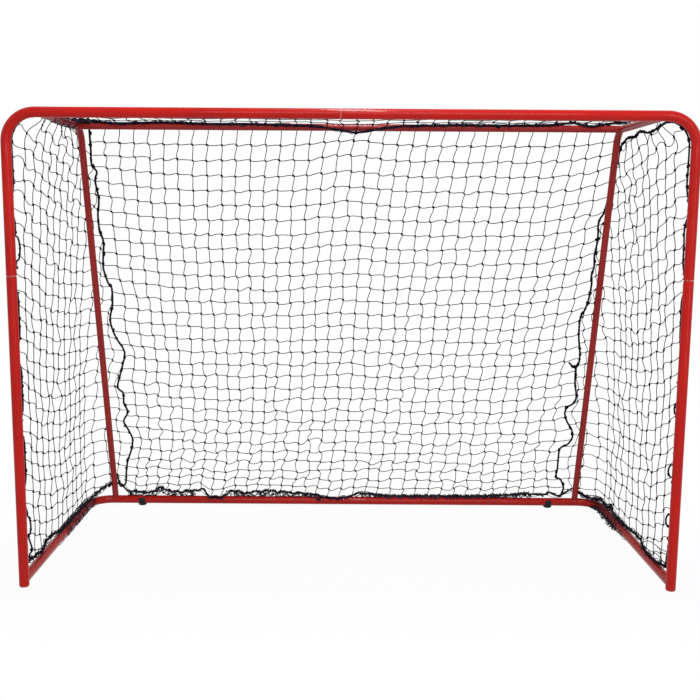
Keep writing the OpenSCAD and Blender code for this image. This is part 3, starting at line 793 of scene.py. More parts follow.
@dataclass
class BorderRopes:
    """The ropes along the net's edges and down its rear seams; their routes are in millimetres."""

    goal: GoalFrame
    diameter: float = 0.0066
    front_diameter: float = 0.0050
    lay: float = 0.022
    step: float = 0.003
    gap: float = 0.0005
    back_top_z: float = 1.157
    back_low_z: float = 0.040
    behind_top: float = 0.0045
    behind_low: float = 0.006
    strut_reach: float = 0.016
    front_line_y: float = -0.3369
    front_lift: float = 0.0115
    front_sag: float = 0.0025
    behind_x: float = 0.0067
    behind_z: float = 0.0015
    in_hook: float = 0.001
    hook_clear: float = 0.028
    shoulder_x: float = 0.735
    shoulder_lift: float = 0.004
    knots_beyond: float = 0.765
    ripple: float = 0.0018

    # Pitch of a rope's knots, and their smallest and largest width, in metres
    FINE, COARSE, DENSE = (0.030, 0.008, 0.013), (0.034, 0.010, 0.016), (0.015, 0.009, 0.014)
    POST_REACH_Z = (0.5, 0.9)
    POST_REACH = {Side.LEFT: (0.0552, 0.0562), Side.RIGHT: (0.0600, 0.0535)}
    BEND_RISE = {Side.LEFT: 0.0605, Side.RIGHT: 0.0575}
    BEND_STEPS = 7
    SLACK_Z = (0.14, 1.05, 0.045)
    RIPPLE_X = ((-0.70, -0.66, 0.00, 0.06), (0.0, 1.0, 1.0, 0.0))
    RIPPLE_WAVES = (131, 223)
    # Height of each point and its distance from the middle
    SEAM_DROPS = {
        Side.LEFT: (
            (1157, 709), (1100, 714), (1077, 719), (1058, 714), (1042, 699), (1018, 706), (968, 701),
            (925, 709), (885, 709), (847, 700), (795, 706), (768, 708), (728, 698), (712, 689), (662, 692),
            (615, 703), (565, 692), (528, 673), (505, 670), (458, 684), (404, 700), (382, 685), (350, 686),
            (320, 677), (288, 692), (257, 679), (227, 670), (190, 677), (150, 692), (110, 700), (80, 703),
            (66, 709), (62, 718),
        ),
        Side.RIGHT: (
            (1157, 736), (1080, 738), (1000, 738), (942, 730), (922, 718), (900, 711), (880, 717),
            (850, 717), (818, 711), (785, 716), (758, 708), (733, 714), (690, 709), (658, 701), (632, 690),
            (575, 692), (525, 701), (490, 702), (478, 695), (425, 698), (382, 707), (360, 702), (345, 683),
            (325, 678), (298, 687), (272, 704), (245, 711), (220, 699), (208, 679), (190, 674), (130, 675),
            (103, 673), (96, 688), (70, 701), (50, 700), (40, 698),
        ),
    }
    # Points in the shared frame
    LOOSE_ENDS = {
        Side.LEFT: ((-736, 360.5, 100), (-733, 362.5, 88), (-727, 361.5, 70), (-719, 360.5, 62)),
        Side.RIGHT: ((700, 223, 488), (692, 220.5, 481), (683, 220, 480), (677, 220, 486), (671, 219, 492)),
    }
    # Height, distance from the middle and half the height of each loop
    FRONT_LOOPS = {
        Side.LEFT: ((150, 797, 26), (843, 796, 32)),
        Side.RIGHT: ((176, 798, 18), (303, 797, 18), (460, 803, 16)),
    }
    # Points below the lowest hook, from the side tube up
    FRONT_TAILS = {
        Side.LEFT: ((-809, -318, 56), (-804, -333, 74), (-796, -337, 90)),
        Side.RIGHT: ((809, -322, 56), (807, -334, 85), (808, -337, 110)),
    }
    # From the hoop's side bar, at its lower side
    SIDE_ROPE = (
        (36, -300, 10), (36, -215, 2), (35, -180, -4), (31, -130, -10), (24, -90, -5), (24, -64, -4),
        (22, -48, -14), (17, -5, -13), (14, 14, -17), (13, 52, -30), (13, 74, -52), (13, 82, -80),
    )
    # From the rear top bar's middle, lying on the bar or, where it has slipped, in front of it
    TOP_LEFT = (
        (-748, 0, 1), (-700, -5, -1), (-620, -11, -6), (-500, -8, -3), (-400, -11, -6), (-270, -11, -6),
        (-190, -12, -8), (-110, -13, -10),
    )
    TOP_SLIPPED = ((-55, 0, -16), (2, -1, -26), (43, -1, -25), (83, 0, -17))
    TOP_RIGHT = (
        (138, -13, -10), (220, -12, -7), (300, -10, -5), (410, -11, -6), (530, -9, -4), (575, -5, -1),
        (600, 0, 3), (628, -7, -3), (655, -10, -8), (686, -5, -1), (728, 0, 3), (748, 0, 4),
    )
    # Lying on the side tubes
    LEFT_EDGE = (
        (-811, -322, 16), (-812, -303, 15), (-812, -250, 11), (-812, -192, 6), (-813, -161, 16),
        (-813, -98, 15), (-813, -50, 6), (-812, -15, 2), (-812, 150, 0), (-808, 250, 1), (-799, 300, 7),
        (-776, 336, 24), (-756, 350, 35), (-742, 359, 38), (-732, 362, 34),
    )
    RIGHT_EDGE = (
        (724, 362, 22), (738, 360, 28), (752, 354, 18), (766, 347, 6), (780, 337, 4), (793, 320, 7),
        (803, 295, 13), (808, 270, 10), (811, 240, 4), (812, 215, 8), (813, 197, 24), (813, 178, 8),
        (813, 140, 3), (813, 70, 3), (813, -18, 10), (813, -100, 12), (811, -130, 3), (808, -180, -2),
        (810, -240, 1), (811, -280, 7), (811, -322, 16),
    )
    # From the rear bar's middle, lying on the bar
    REAR_EDGE = (
        (-719, 6, 28), (-701, 6, 11), (-681, 6, 8), (-665, 6, 9), (-647, 6, 3), (-630, 6, 7), (-613, 6, 11),
        (-597, 6, 18), (-584, 6, 19), (-571, 6, 13), (-557, 6, 8), (-517, 6, 8), (-489, 6, 12),
        (-466, 6, 16), (-450, 6, 9), (-436, -11.5, -3), (-420, -11.5, -5), (-399, -11.5, -3), (-383, 0, 1),
        (-367, 6, 12), (-346, 6, 10), (-328, 6, 4), (-304, 6, 7), (-263, 6, 12), (-231, 6, 11),
        (-187, 6, 8), (-145, 6, 5), (-115, 6, 3), (-88, -1, 0), (-60, -11.5, -4), (-30, -11.5, -4),
        (-5, -10.5, -4), (18, -1, 0), (42, 6, 6), (63, 6, 7), (95, 6, 2), (150, 4, -1), (274, 3, -1),
        (400, 4, 0), (500, 6, 3), (565, 6, 7), (582, 6, 10), (604, 6, 7), (632, 6, 6), (645, 6, 7),
        (658, 6, 13), (672, 6, 7), (689, 6, 2), (698, 6, 6), (712, 6, 14),
    )

    def __post_init__(self) -> None:
        """Lays the lines that the net's panels follow."""
        self.seams = {side: self._seam_line(side) for side in Side}
        self.top_line = self._top_line()
        self.bottom_line = self._bottom_line()
        self.front_line = smooth_route(self._front_route(), self.step)

    def back_y(self, z: Array) -> Array:
        """The back panel's plane, from behind the rear top bar to behind the rear bar."""
        top = self.goal.top_y + self.goal.hoop_r + self.behind_top
        low = self.goal.rear_y + self.behind_low
        share = (np.asarray(z) - self.back_low_z) / (self.back_top_z - self.back_low_z)
        return low + (top - low) * share

    def _seam_line(self, side: Side) -> Array:
        """A seam rope's line, which passes behind the strut where it meets it."""
        goal = self.goal
        z, x = metres(self.SEAM_DROPS[side]).T
        clear = goal.hoop_x - goal.hoop_r - self.diameter
        share = np.clip((x - clear + self.strut_reach) / self.strut_reach, 0, 1)
        plane = self.back_y(z)
        behind = goal.strut_y(z) + goal.hoop_r + self.diameter / 2 + self.gap
        y = plane + (np.maximum(plane, behind) - plane) * share
        return smooth_route(np.stack([side.value * x, y, z], axis=1), self.step)

    def seam_at(self, side: Side, z: Array) -> Array:
        """Points of a seam rope at given heights."""
        line = self.seams[side][::-1]
        return at_places(z, np.maximum.accumulate(line[:, 2]), line)

    def seam_plain_x(self, side: Side, z: Array) -> Array:
        """A seam rope's place without its waves."""
        heights, places = metres(self.SEAM_DROPS[side]).T
        return side.value * np.polyval(np.polyfit(heights, places, 3), z)

    def front_x(self, side: Side, z: Array) -> Array:
        """How far out the net's front edge lies at a height, rounding the upper corner."""
        goal, reach = self.goal, np.interp(z, self.POST_REACH_Z, self.POST_REACH[side])
        above = np.maximum(z - goal.bar_z + goal.corner_r - self.behind_z, 0) / self.BEND_RISE[side]
        return goal.post_x - goal.corner_r + self.behind_x + reach * np.sqrt(np.maximum(1 - above**2, 0))

    def front_at(self, side: Side, z: Array) -> Array:
        """Points of the front rope beside one post at given heights."""
        post = self.front_line[self.front_line[:, 0] * side.value > self.knots_beyond]
        post = post[np.argsort(post[:, 2])]
        return at_places(z, post[:, 2], post)

    def side_low_z(self, side: Side, y: Array) -> Array:
        """Height of the bottom rope beside one side tube."""
        beside = self.bottom_line[self.bottom_line[:, 0] * side.value > self.goal.hoop_x]
        beside = beside[np.argsort(beside[:, 1])]
        return np.interp(y, beside[:, 1], beside[:, 2])

    def side_top_z(self, side: Side, y: Array, past: Array) -> Array:
        """Height of a side panel's upper edge: over the side bar, or at the rope that hangs under it."""
        goal = self.goal
        edge = np.full(y.shape, goal.bar_z + goal.hoop_r)
        if side is Side.RIGHT:
            edge = np.interp(y, *self._side_route().T[1:])
        return np.where(past > 0, goal.bar_z - goal.hoop_bend_r, edge)

    def _side_route(self) -> Array:
        """The right side panel's upper rope, which hangs under the hoop's side bar."""
        return metres(self.SIDE_ROPE, (self.goal.hoop_x, 0.0, self.goal.bar_z - self.goal.hoop_r))

    def _top_line(self) -> Array:
        """The rope on the rear top bar, which slips down in front of it at the middle."""
        goal, half = self.goal, self.diameter / 2
        on = goal.bar_z + goal.hoop_r + half
        left, right = (metres(part, (0.0, goal.top_y, on)) for part in (self.TOP_LEFT, self.TOP_RIGHT))
        slipped = metres(self.TOP_SLIPPED, (0.0, goal.top_y - goal.hoop_r - half, on))
        return goal.top_bar.cleared(smooth_route(np.vstack([left, slipped, right]), self.step), half)

    def top_at(self, x: Array) -> Array:
        """Points of the top rope at given places along the bar."""
        return at_places(x, self.top_line[:, 0], self.top_line)

    def _bottom_line(self) -> Array:
        """The bottom rope's line from one side tube to the other, on the rear bar and not in it."""
        goal, half = self.goal, self.diameter / 2
        on = goal.base_z + goal.tube_r + half
        left, right = (metres(edge, (0.0, 0.0, on)) for edge in (self.LEFT_EDGE, self.RIGHT_EDGE))
        rear = metres(self.REAR_EDGE, (0.0, goal.rear_y, on))
        line = smooth_route(np.vstack([left, rear, right]), self.step)
        along, slack = along_line(line), np.interp(line[:, 0], *self.RIPPLE_X)
        slow, fast = self.RIPPLE_WAVES
        line[:, 2] += self.ripple * slack * (np.sin(along * slow) + np.sin(along * fast + 1.0))
        return np.where(np.abs(line[:, :1]) < goal.hoop_x, goal.rear_bar.cleared(line, half), line)

    def bottom_at(self, x: Array) -> Array:
        """Points of the bottom rope at given places along the rear bar."""
        rear = self.bottom_line[np.abs(self.bottom_line[:, 0]) < self.goal.hoop_x]
        return at_places(x, np.maximum.accumulate(rear[:, 0]), rear)

    def _post_route(self, side: Side) -> List[Point]:
        """Up one post in its hooks, slack between them and with loops pulled out, and round the corner."""
        goal, loops = self.goal, metres(self.FRONT_LOOPS[side])
        held = {z: goal.post_x - self.in_hook for z in goal.hook_z}
        near = np.array([*held, *loops[:, 0]])
        free = (z for z in np.arange(*self.SLACK_Z) if np.abs(near - z).min() > self.hook_clear)
        places = {z: float(self.front_x(side, z)) for z in free}
        places.update(held)
        for z, x, half in loops:
            base = float(self.front_x(side, z))
            for turn in np.linspace(-math.pi / 2, math.pi / 2, self.BEND_STEPS):
                places[z + half * math.sin(turn)] = base + (x - base) * math.cos(turn)
        for turn in np.linspace(0, math.pi / 2, self.BEND_STEPS):
            z = goal.bar_z - goal.corner_r + self.behind_z + self.BEND_RISE[side] * math.sin(turn)
            places[z] = float(self.front_x(side, z))
        return [(side.value * x, self.front_line_y, z) for z, x in sorted(places.items())]

    def _front_route(self) -> Route:
        """Up one post, along the crossbar and down the other."""
        bar_z, y = self.goal.bar_z, self.front_line_y
        posts = {}
        for side in Side:
            shoulder = (side.value * self.shoulder_x, y, bar_z + self.shoulder_lift)
            posts[side] = [*metres(self.FRONT_TAILS[side]), *self._post_route(side), shoulder]
        over: List[Point] = []
        for x in self.goal.bar_hook_x:
            if over:
                over.append(((over[-1][0] + x) / 2, y, bar_z + self.front_lift - self.front_sag))
            over.append((x, y, bar_z + self.front_lift))
        return [*posts[Side.LEFT], *over, *posts[Side.RIGHT][::-1]]

    def _make(
        self,
        name: str,
        line: Array,
        draw: int,
        knot: Tuple[float, float, float],
        *nodes: str,
        beyond: float = 0.0,
    ) -> None:
        """Makes one rope with lashing knots.

        Args:
            name: the piece's name.
            line: its centre line.
            draw: which random numbers it takes.
            knot: the knots' pitch, and their smallest and largest width.
            nodes: the CAD nodes that it stands for.
            beyond: how far from the middle the knots start; only the thinner front rope has this.
        """
        yarn = Yarn(draw)
        yarn.rope(line, self.front_diameter if beyond else self.diameter, self.lay)
        for side in Side:
            stretch = line[line[:, 0] * side.value > beyond]
            if len(stretch):
                yarn.lumps(stretch, *knot)
        yarn.build(name, ROPE, "border_rope", *nodes)

    def build(self) -> None:
        """Makes the ropes."""
        self._make("rope_front_line", self.front_line, 50, self.FINE, "rope_front", beyond=self.knots_beyond)
        self._make("rope_bottom_line", self.bottom_line, 51, self.FINE, "rope_bottom")
        self._make("rope_top_line", self.top_line, 52, self.FINE, "rope_top")
        for side in Side:
            name = f"rope_seam_{side.word}"
            self._make(f"{name}_line", self.seams[side], 54 + side.value, self.COARSE, name)
        self._make("rope_side_top_right", smooth_route(self._side_route(), self.step), 56, self.DENSE)
        for side in Side:
            end = smooth_route(metres(self.LOOSE_ENDS[side]), self.step)
            self._make(f"rope_loose_end_{side.word}", end, 58 + side.value, self.COARSE)


@dataclass
class NetPanels:
    """The four panels of knotted twine; a table gives places, and the values at them."""

    goal: GoalFrame
    ropes: BorderRopes
    twine_d: float = 0.0021
    back_twine_d: float = 0.0024
    knot_low: float = 0.0066
    knot_high: float = 0.0092
    back_across: int = 36
    back_down: int = 30
    back_skew: float = 0.045
    back_free: float = 14
    crest_x: float = 0.01
    crest_drift: float = 0.06
    crest_width: float = 0.10
    seam_pull: float = 0.055
    settle_from: float = 0.88
    top_deep: int = 9
    top_free: float = 6
    top_shake: float = 0.0025
    top_flat: float = 0.4
    top_arch: float = 0.005
    top_bend: int = 8
    top_twist: float = 0.3
    side_behind: int = 2
    side_start: float = 1.135
    side_pitch: float = 0.0385
    side_drop: float = 0.105
    side_lead: float = 0.06
    behind_drop: float = 0.012
    behind_end: float = 1.001
    behind_scale: float = 0.08
    round_strut: float = 0.5
    foot_z: float = 0.03

    ROW_GAPS = ((0, 8, 20, 25, 29), (1.10, 1.07, 1.00, 0.88, 0.66))
    RISE_AT = (0, 0.05, 0.12, 0.4, 0.75, 0.93, 1)
    RISE = {
        Side.LEFT: (0.34, (0.0, 0.010, 0.026, 0.032, 0.024, 0.008, 0.0)),
        Side.RIGHT: (0.24, (0.0, 0.024, 0.030, 0.030, 0.022, 0.008, 0.0)),
    }
    CREST = ((0, 0.04, 0.5, 0.9, 1), (0.0, 0.015, 0.010, 0.005, 0.0))
    BACK_UNREST = ((0, 0.5, 1), (0.7, 1.1, 2.0))
    BACK_SHAKE = (0.0016, 0.003, 0.0016)
    BACK_TWIST = ((0, 0.3, 0.7, 1), (0.24, 0.28, 0.42, 0.72))
    SIDE_ROWS = (-5, 29)
    TO_STRUT = ((0.30, 0.55, 0.95, 1.035, 1.13), (13, 12, 10, 9.4, 8))
    STEEP = ((0.40, 0.78, 1.0, 1.2), (3.4, 2.2, 1.3, 1.1))
    CROWDED = ((0.7, 1.1), (1.0, 0.78))
    HELD = ((1.08, 1.10), (1.0, 0.0))
    SIDE_SHAKE = (0.0025, 0.0032, 0.0030)
    SIDE_TWIST_Z = (0.3, 0.75, 1.0)
    # How much the crossings shake, how much knots turn in alternation, and the twist at three heights
    UNREST = {Side.LEFT: (0.70, 0.70, (0.24, 0.32, 0.60)), Side.RIGHT: (0.85, 0.65, (0.28, 0.44, 0.58))}

    def build(self) -> None:
        """Makes the panels."""
        self._panel("net_back_twine", self._back(), 1, "net_back", self.back_twine_d)
        self._panel("net_top_twine", self._top(), 2, "net_top", self.twine_d)
        for side in Side:
            name = f"net_{side.word}"
            self._panel(f"{name}_twine", self._side(side), 5 + side.value, name, self.twine_d)

    def _panel(self, name: str, crossings: Crossings, draw: int, node: str, twine_d: float) -> None:
        """Makes one panel from its crossings."""
        yarn = Yarn(draw)
        paths, centres, first, second = crossings.strands(yarn.dice)
        yarn.tubes(paths, twine_d / 2)
        yarn.knots(centres, first, second, self.knot_low, self.knot_high)
        yarn.build(name, TWINE, "net_twine", node)

    def _back(self) -> Crossings:
        """The back panel, from the rear top bar down to the bottom rope, between the seam ropes."""
        ropes, dice = self.ropes, np.random.default_rng(SEED + 20)
        share = np.linspace(0, 1, self.back_across + 1)[:, None]
        gaps = np.interp(np.arange(self.back_down), *self.ROW_GAPS)
        down = np.concatenate([[0], np.cumsum(gaps)])[None, :] / gaps.sum()
        z = ropes.back_top_z + (ropes.back_low_z - ropes.back_top_z) * down + 0 * share
        left, right = (ropes.seam_plain_x(side, z[0]) for side in Side)
        x = left + (right - left) * share - self.back_skew * 4 * share * (1 - share) * down
        edges = ((Side.LEFT, 0, x - left), (Side.RIGHT, -1, right - x))
        for side, _, gap in edges:
            width, rise = self.RISE[side]
            z = z + np.interp(down, self.RISE_AT, rise) * np.clip(1 - gap / width, 0, 1) ** 2
        aside = (x - self.crest_x + self.crest_drift * down) / self.crest_width
        z = z + np.interp(down, *self.CREST) * np.exp(-(aside**2))
        y = ropes.back_y(z)
        for side, column, gap in edges:
            seam = ropes.seam_at(side, z[column])
            near = np.exp(-np.maximum(gap, 0) / self.seam_pull)
            x, y = x + (seam[:, 0] - x[column]) * near, y + (seam[:, 1] - y[column]) * near
        rope = ropes.bottom_at(x[:, -1])
        settle = np.clip((down - self.settle_from) / (1 - self.settle_from), 0, 1) ** 2
        z = z + (rope[:, 2:] - z[:, -1:]) * settle
        y = y + (rope[:, 1:2] - y[:, -1:]) * settle
        free = between_ends(down, self.back_free) * between_ends(share, self.back_free)
        shake = dice.normal(0, 1, (3, *x.shape)) * free * np.interp(down, *self.BACK_UNREST)
        points = np.stack([x, y, z], axis=-1) + np.moveaxis(shake, 0, -1) * self.BACK_SHAKE
        twist = np.interp(down, *self.BACK_TWIST) + 0 * x
        return Crossings(points, np.ones(x.shape), twist, rim_second=False)

    def _top(self) -> Crossings:
        """The top panel, from the crossbar's rope back to the rear top bar's rope."""
        goal, ropes = self.goal, self.ropes
        dice = np.random.default_rng(SEED + 21)
        share = np.linspace(0, 1, self.back_across + 2)[:, None]
        back = np.linspace(0, 1, self.top_deep + 1)[None, :]
        x = (2 * share - 1) * (goal.hoop_x + goal.hoop_r) + 0 * back
        rear = ropes.top_at(x[:, 0])
        front_y, front_z = ropes.front_line_y, goal.bar_z + ropes.front_lift - ropes.front_sag / 2
        y = front_y + (rear[:, 1:2] - front_y) * back
        arch = self.top_arch * np.sin(math.pi * back)
        z = front_z + (rear[:, 2:3] - front_z) * back**self.top_bend + arch
        shake = dice.normal(0, self.top_shake, (3, *x.shape)) * between_ends(back, self.top_free)
        points = np.stack([x + shake[0], y + shake[1], z + shake[2] * self.top_flat], axis=-1)
        return Crossings(points, np.ones(x.shape), np.full(x.shape, self.top_twist), rim_second=False)

    def _side(self, side: Side) -> Crossings:
        """A side panel, from the front rope past the strut's outer face to the seam rope."""
        goal, ropes = self.goal, self.ropes
        dice = np.random.default_rng(SEED + 30 + side.value)
        column = np.arange(self.TO_STRUT[1][0] + self.side_behind + 1)[:, None]
        start = self.side_start - self.side_pitch * np.arange(*self.SIDE_ROWS)[None, :]
        to_strut = np.interp(start - self.side_lead, *self.TO_STRUT)
        reach = np.minimum(column / to_strut, 1.0)
        past = np.maximum(column - to_strut, 0) / self.side_behind
        fall = 1 - (1 - reach) ** np.interp(start, *self.STEEP)
        free = np.clip(np.minimum(column, column[-1] - column) / 2, 0, 1)
        unrest, alternate, twist = self.UNREST[side]
        shake_x, shake_y, shake_z = self.SIDE_SHAKE
        shake = dice.normal(0, unrest, (3, *reach.shape)) * free
        z = start - self.side_drop * fall - self.behind_drop * past + shake_z * shake[2]
        share = reach ** np.interp(z, *self.CROWDED)
        outer = goal.hoop_x + goal.hoop_r + self.twine_d
        front_x, front_y, rear_y = ropes.front_x(side, z), ropes.front_line_y, goal.strut_y(z)
        straight = goal.rear_y - goal.corner_r - front_y
        bend = goal.corner_r * math.acos(1 - (goal.post_x - outer) / goal.corner_r)
        foot_x, foot_y = goal.base_path((straight + bend) * share - straight)
        foot_end = float(goal.base_path(np.array(bend))[1])
        low = np.clip(1 - (z - self.foot_z), 0, 1)
        x = front_x + (outer - front_x) * share + (foot_x - goal.post_x - (outer - goal.post_x) * share) * low
        y = front_y + (rear_y - front_y) * share + (foot_y - front_y - (foot_end - front_y) * share) * low
        seam = ropes.seam_at(side, np.clip(z, ropes.back_low_z, ropes.back_top_z))
        behind = rear_y + goal.hoop_r + self.twine_d
        swing = (behind - y) * np.sin(math.pi * np.minimum(past, 1)) * self.round_strut
        x = np.where(past > 0, outer + (np.abs(seam[..., 0]) - outer) * past, x) + shake_x * shake[0]
        y = np.where(past > 0, y + (seam[..., 1] - y) * past + swing, y + shake_y * shake[1])
        rope = ropes.front_at(side, z)
        held = (column == 0) * np.interp(z, *self.HELD)
        x, y = x + (np.abs(rope[..., 0]) - x) * held, y + (rope[..., 1] - y) * held
        inside = np.minimum(ropes.side_top_z(side, y, past) - z, z - ropes.side_low_z(side, y))
        inside = np.minimum(inside, (self.behind_end - past) * self.behind_scale)
        points = np.stack([side.value * x, y, z], axis=-1)
        twist_here = np.interp(z, self.SIDE_TWIST_Z, twist)
        return Crossings(points, inside, twist_here, rim_first=False, alternate=alternate)


@dataclass(frozen=True)
class Lashing:
    """How one stretch of rope is lashed, in millimetres.

    Attributes:
        thick: the twine's share of its full thickness.
        turns: for each winding its radius and pitch, and how far forward and down it lies.
        knots: their pitch, smallest and largest width, and how far they stray.
        lower: how far forward and down the knots lie.
    """

    thick: float
    turns: Tuple[Tuple[float, float, float, float], ...]
    knots: Tuple[float, float, float, float]
    lower: Tuple[float, float] = (0, 0)

    def tie(self, yarn: Yarn, line: Array, twine_d: float, bar: Optional[Bar] = None) -> None:
        """Winds and knots a line with twine that stays clear of a bar."""
        for radius, pitch, forward, down in metres(self.turns):
            yarn.wind(line - (0.0, forward, down), radius, pitch, twine_d * self.thick, bar=bar)
        yarn.lumps(line - (0.0, *metres(self.lower)), *metres(self.knots))


@dataclass
class Lacing:
    """Twine that lashes the net's edge and the border ropes to the tubes."""

    goal: GoalFrame
    ropes: BorderRopes
    twine_d: float = 0.0022
    strut_clear: float = 0.010
    corner_clear: float = 0.012
    gathered_x: float = -0.690
    climb_y: float = 0.290
    climb_z: float = 0.040
    hoop_step: float = 0.004
    hoop_gap: float = 0.0014
    tube_gap: float = 0.0004
    tube_thick: float = 0.55
    tube_stagger: float = 0.030
    over_rope: float = 0.0062
    tube_points: int = 120

    REAR = Lashing(0.8, ((4.2, 34, 0, 0), (6.2, -51, 2, 1)), (24, 6, 10, 2.6))
    FULL = Lashing(1.0, ((6.6, -12, 1, 1), (6.6, 15, 3, 3), (6.6, -19, 5, 5)), (11, 9, 14, 2.8), (3, 1))
    SLACK = Lashing(1.15, ((8.5, 21, 3, 5), (8.5, -27, 3, 5), (8.5, 43, 3, 5)), (19, 7, 12, 4.5), (3, 5))
    TOP = Lashing(0.8, ((4.2, 46, 0, 0),), (40, 7, 12, 1.8))
    GATHERED = Lashing(1.0, ((5.8, 10, 0, 0),), (6, 10, 18, 3.0), (6, 0))
    BESIDE = Lashing(0.8, ((4.2, 30, 0, 0), (7.5, -47, 0, 0)), (32, 6, 10, 2.5))
    CLIMB = Lashing(1.0, ((5.8, 12, 0, 0),), (9, 9, 15, 3.0))
    REAR_STRETCHES = ((FULL, 0.050, 0.600), (SLACK, -0.700, -0.480), (SLACK, -0.375, -0.070))
    HOOP_Y = (-0.235, -0.150, -0.080, 0.000)
    HOOP_PITCHES = (0.041, -0.057)
    HOOP_KNOTS = (0.016, 0.010, 0.018, 0.005)
    TUBE_KNOTS = (0.026, 0.006, 0.009, 0.0050)
    # Start and end past the corner bend's start, and the pitch of each winding
    WOUND = {
        Side.LEFT: (-0.260, 0.030, (0.015, -0.021, 0.031, -0.043)),
        Side.RIGHT: (-0.205, 0.055, (0.014, -0.019, 0.027, -0.037)),
    }
    # Loose threads over the right side tube, in millimetres
    THREADS = (
        (
            (809, -128, 48), (809, -180, 69), (809, -224, 76), (809, -267, 78), (809, -284, 64),
            (810, -290, 46),
        ),
        ((809, -140, 44), (809, -190, 46), (809, -235, 55), (809, -280, 58), (810, -315, 52)),
        ((809, -255, 76), (809, -315, 87), (808, -335, 90)),
    )
    FRINGE_SPOTS = (4, 118, 4)
    FRINGE_WIDTH, FRINGE_REACH = (0.003, 0.007), (0.002, 0.012)
    FRINGE_TURN = (-0.25, 1.25, 14)
    FRINGE_GAP, FRINGE_DROP, FRINGE_FLAT, FRINGE_THICK = 0.001, 0.004, 0.4, 0.6

    def build(self) -> None:
        """Makes the lacing on the rear bar, the rear top bar and the side tubes."""
        self._rear_bar()
        self._top_bar()
        for side in Side:
            self._side(side)

    def _rear_bar(self) -> None:
        """The net's lower edge, whipped on to the bottom rope and tied to the rear bar."""
        goal, yarn = self.goal, Yarn(60)
        line = self.ropes.bottom_line
        rear = line[np.abs(line[:, 0]) < goal.hoop_x - self.strut_clear]
        self.REAR.tie(yarn, rear, self.twine_d, goal.rear_bar)
        for lashing, low, high in self.REAR_STRETCHES:
            stretch = rear[(rear[:, 0] > low) & (rear[:, 0] < high)]
            lashing.tie(yarn, stretch, self.twine_d, goal.rear_bar)
        yarn.build("lacing_rear_bar_twine", LACING, "lacing_twine", "lacing_rear_bar")

    def _top_bar(self) -> None:
        """The top panel's rear edge, lashed to the top rope, and the turns round the left side bar."""
        goal, yarn = self.goal, Yarn(61)
        line = self.ropes.top_line
        self.TOP.tie(yarn, line, self.twine_d, goal.top_bar)
        self.GATHERED.tie(yarn, line[line[:, 0] < self.gathered_x], self.twine_d, goal.top_bar)
        bar = smooth_route([(-goal.hoop_x, y, goal.bar_z) for y in self.HOOP_Y], self.hoop_step)
        for pitch in self.HOOP_PITCHES:
            yarn.wind(bar, goal.hoop_r + self.hoop_gap, pitch, self.twine_d)
        yarn.lumps(bar + (0.0, 0.0, goal.hoop_r), *self.HOOP_KNOTS)
        yarn.build("lacing_top_bar_twine", LACING, "lacing_twine", "lacing_top_bar")

    def _side(self, side: Side) -> None:
        """The net's slack edge, wound both ways round a side tube and into its corner."""
        goal, yarn = self.goal, Yarn(64 + side.value)
        start, stop, pitches = self.WOUND[side]
        radius = goal.tube_r + self.twine_d / 2 + self.tube_gap
        for turn, pitch in enumerate(pitches):
            tube = self._tube(side, start - self.tube_stagger * turn, stop)
            yarn.wind(tube, radius, pitch, self.twine_d * self.tube_thick, self.over_rope)
        tube = self._tube(side, start, stop)
        yarn.lumps(tube + (0.0, 0.0, goal.tube_r + self.ropes.diameter / 2), *self.TUBE_KNOTS)
        line = self.ropes.bottom_line
        beside = line[line[:, 0] * side.value > goal.hoop_x + self.corner_clear]
        self.BESIDE.tie(yarn, beside, self.twine_d)
        climb = beside[(beside[:, 1] > self.climb_y) & (beside[:, 2] > self.climb_z)]
        self.CLIMB.tie(yarn, climb, self.twine_d)
        if side is Side.RIGHT:
            for thread in self.THREADS:
                yarn.tubes(smooth_route(metres(thread), self.ropes.step)[None], self.twine_d / 2)
            self._fringe(yarn, side, tube)
        name = f"lacing_side_{side.word}"
        yarn.build(f"{name}_twine", LACING, "lacing_twine", name)

    def _tube(self, side: Side, start: float, stop: float) -> Array:
        """The centre line of a side tube between two distances from the start of its corner bend."""
        x, y = self.goal.base_path(np.linspace(start, stop, self.tube_points))
        return np.stack([side.value * x, y, np.full(x.shape, self.goal.base_z)], axis=1)

    def _fringe(self, yarn: Yarn, side: Side, tube: Array) -> None:
        """Adds loops of slack mesh that stand out on the inner side of the winding."""
        turn = np.linspace(*self.FRINGE_TURN) * math.pi
        out, along = np.sin(turn), np.cos(turn)
        ways = unit(np.gradient(tube, axis=0))
        inward = np.cross(ways, (0.0, 0.0, -1.0)) * side.value
        skin = self.goal.tube_r + self.FRINGE_GAP
        for spot in range(*self.FRINGE_SPOTS):
            width, reach = (yarn.dice.uniform(*span) for span in (self.FRINGE_WIDTH, self.FRINGE_REACH))
            far = skin + reach * (self.FRINGE_FLAT + (1 - self.FRINGE_FLAT) * out)
            line = tube[spot] + inward[spot] * far[:, None] + ways[spot] * (width * along)[:, None]
            line[:, 2] -= self.FRINGE_DROP * (1 + out)
            yarn.tubes(line[None], self.twine_d * self.FRINGE_THICK)


@dataclass
class TubeFrame:
    """The CAD nodes that show as they are, dressed by their material slots."""

    nodes: Dict[str, bpy.types.Object]

    def build(self) -> None:
        """Gives each shown node its finish."""
        for name, node in self.nodes.items():
            slot = node.data.materials[0].name.split(".")[0] if node.data.materials else ""
            finish = SLOT_FINISH.get(slot)
            if finish is None:
                continue
            node.data.materials.clear()
            node.data.materials.append(finish.material())
            LOG.info("%s: %s", name, finish.name)


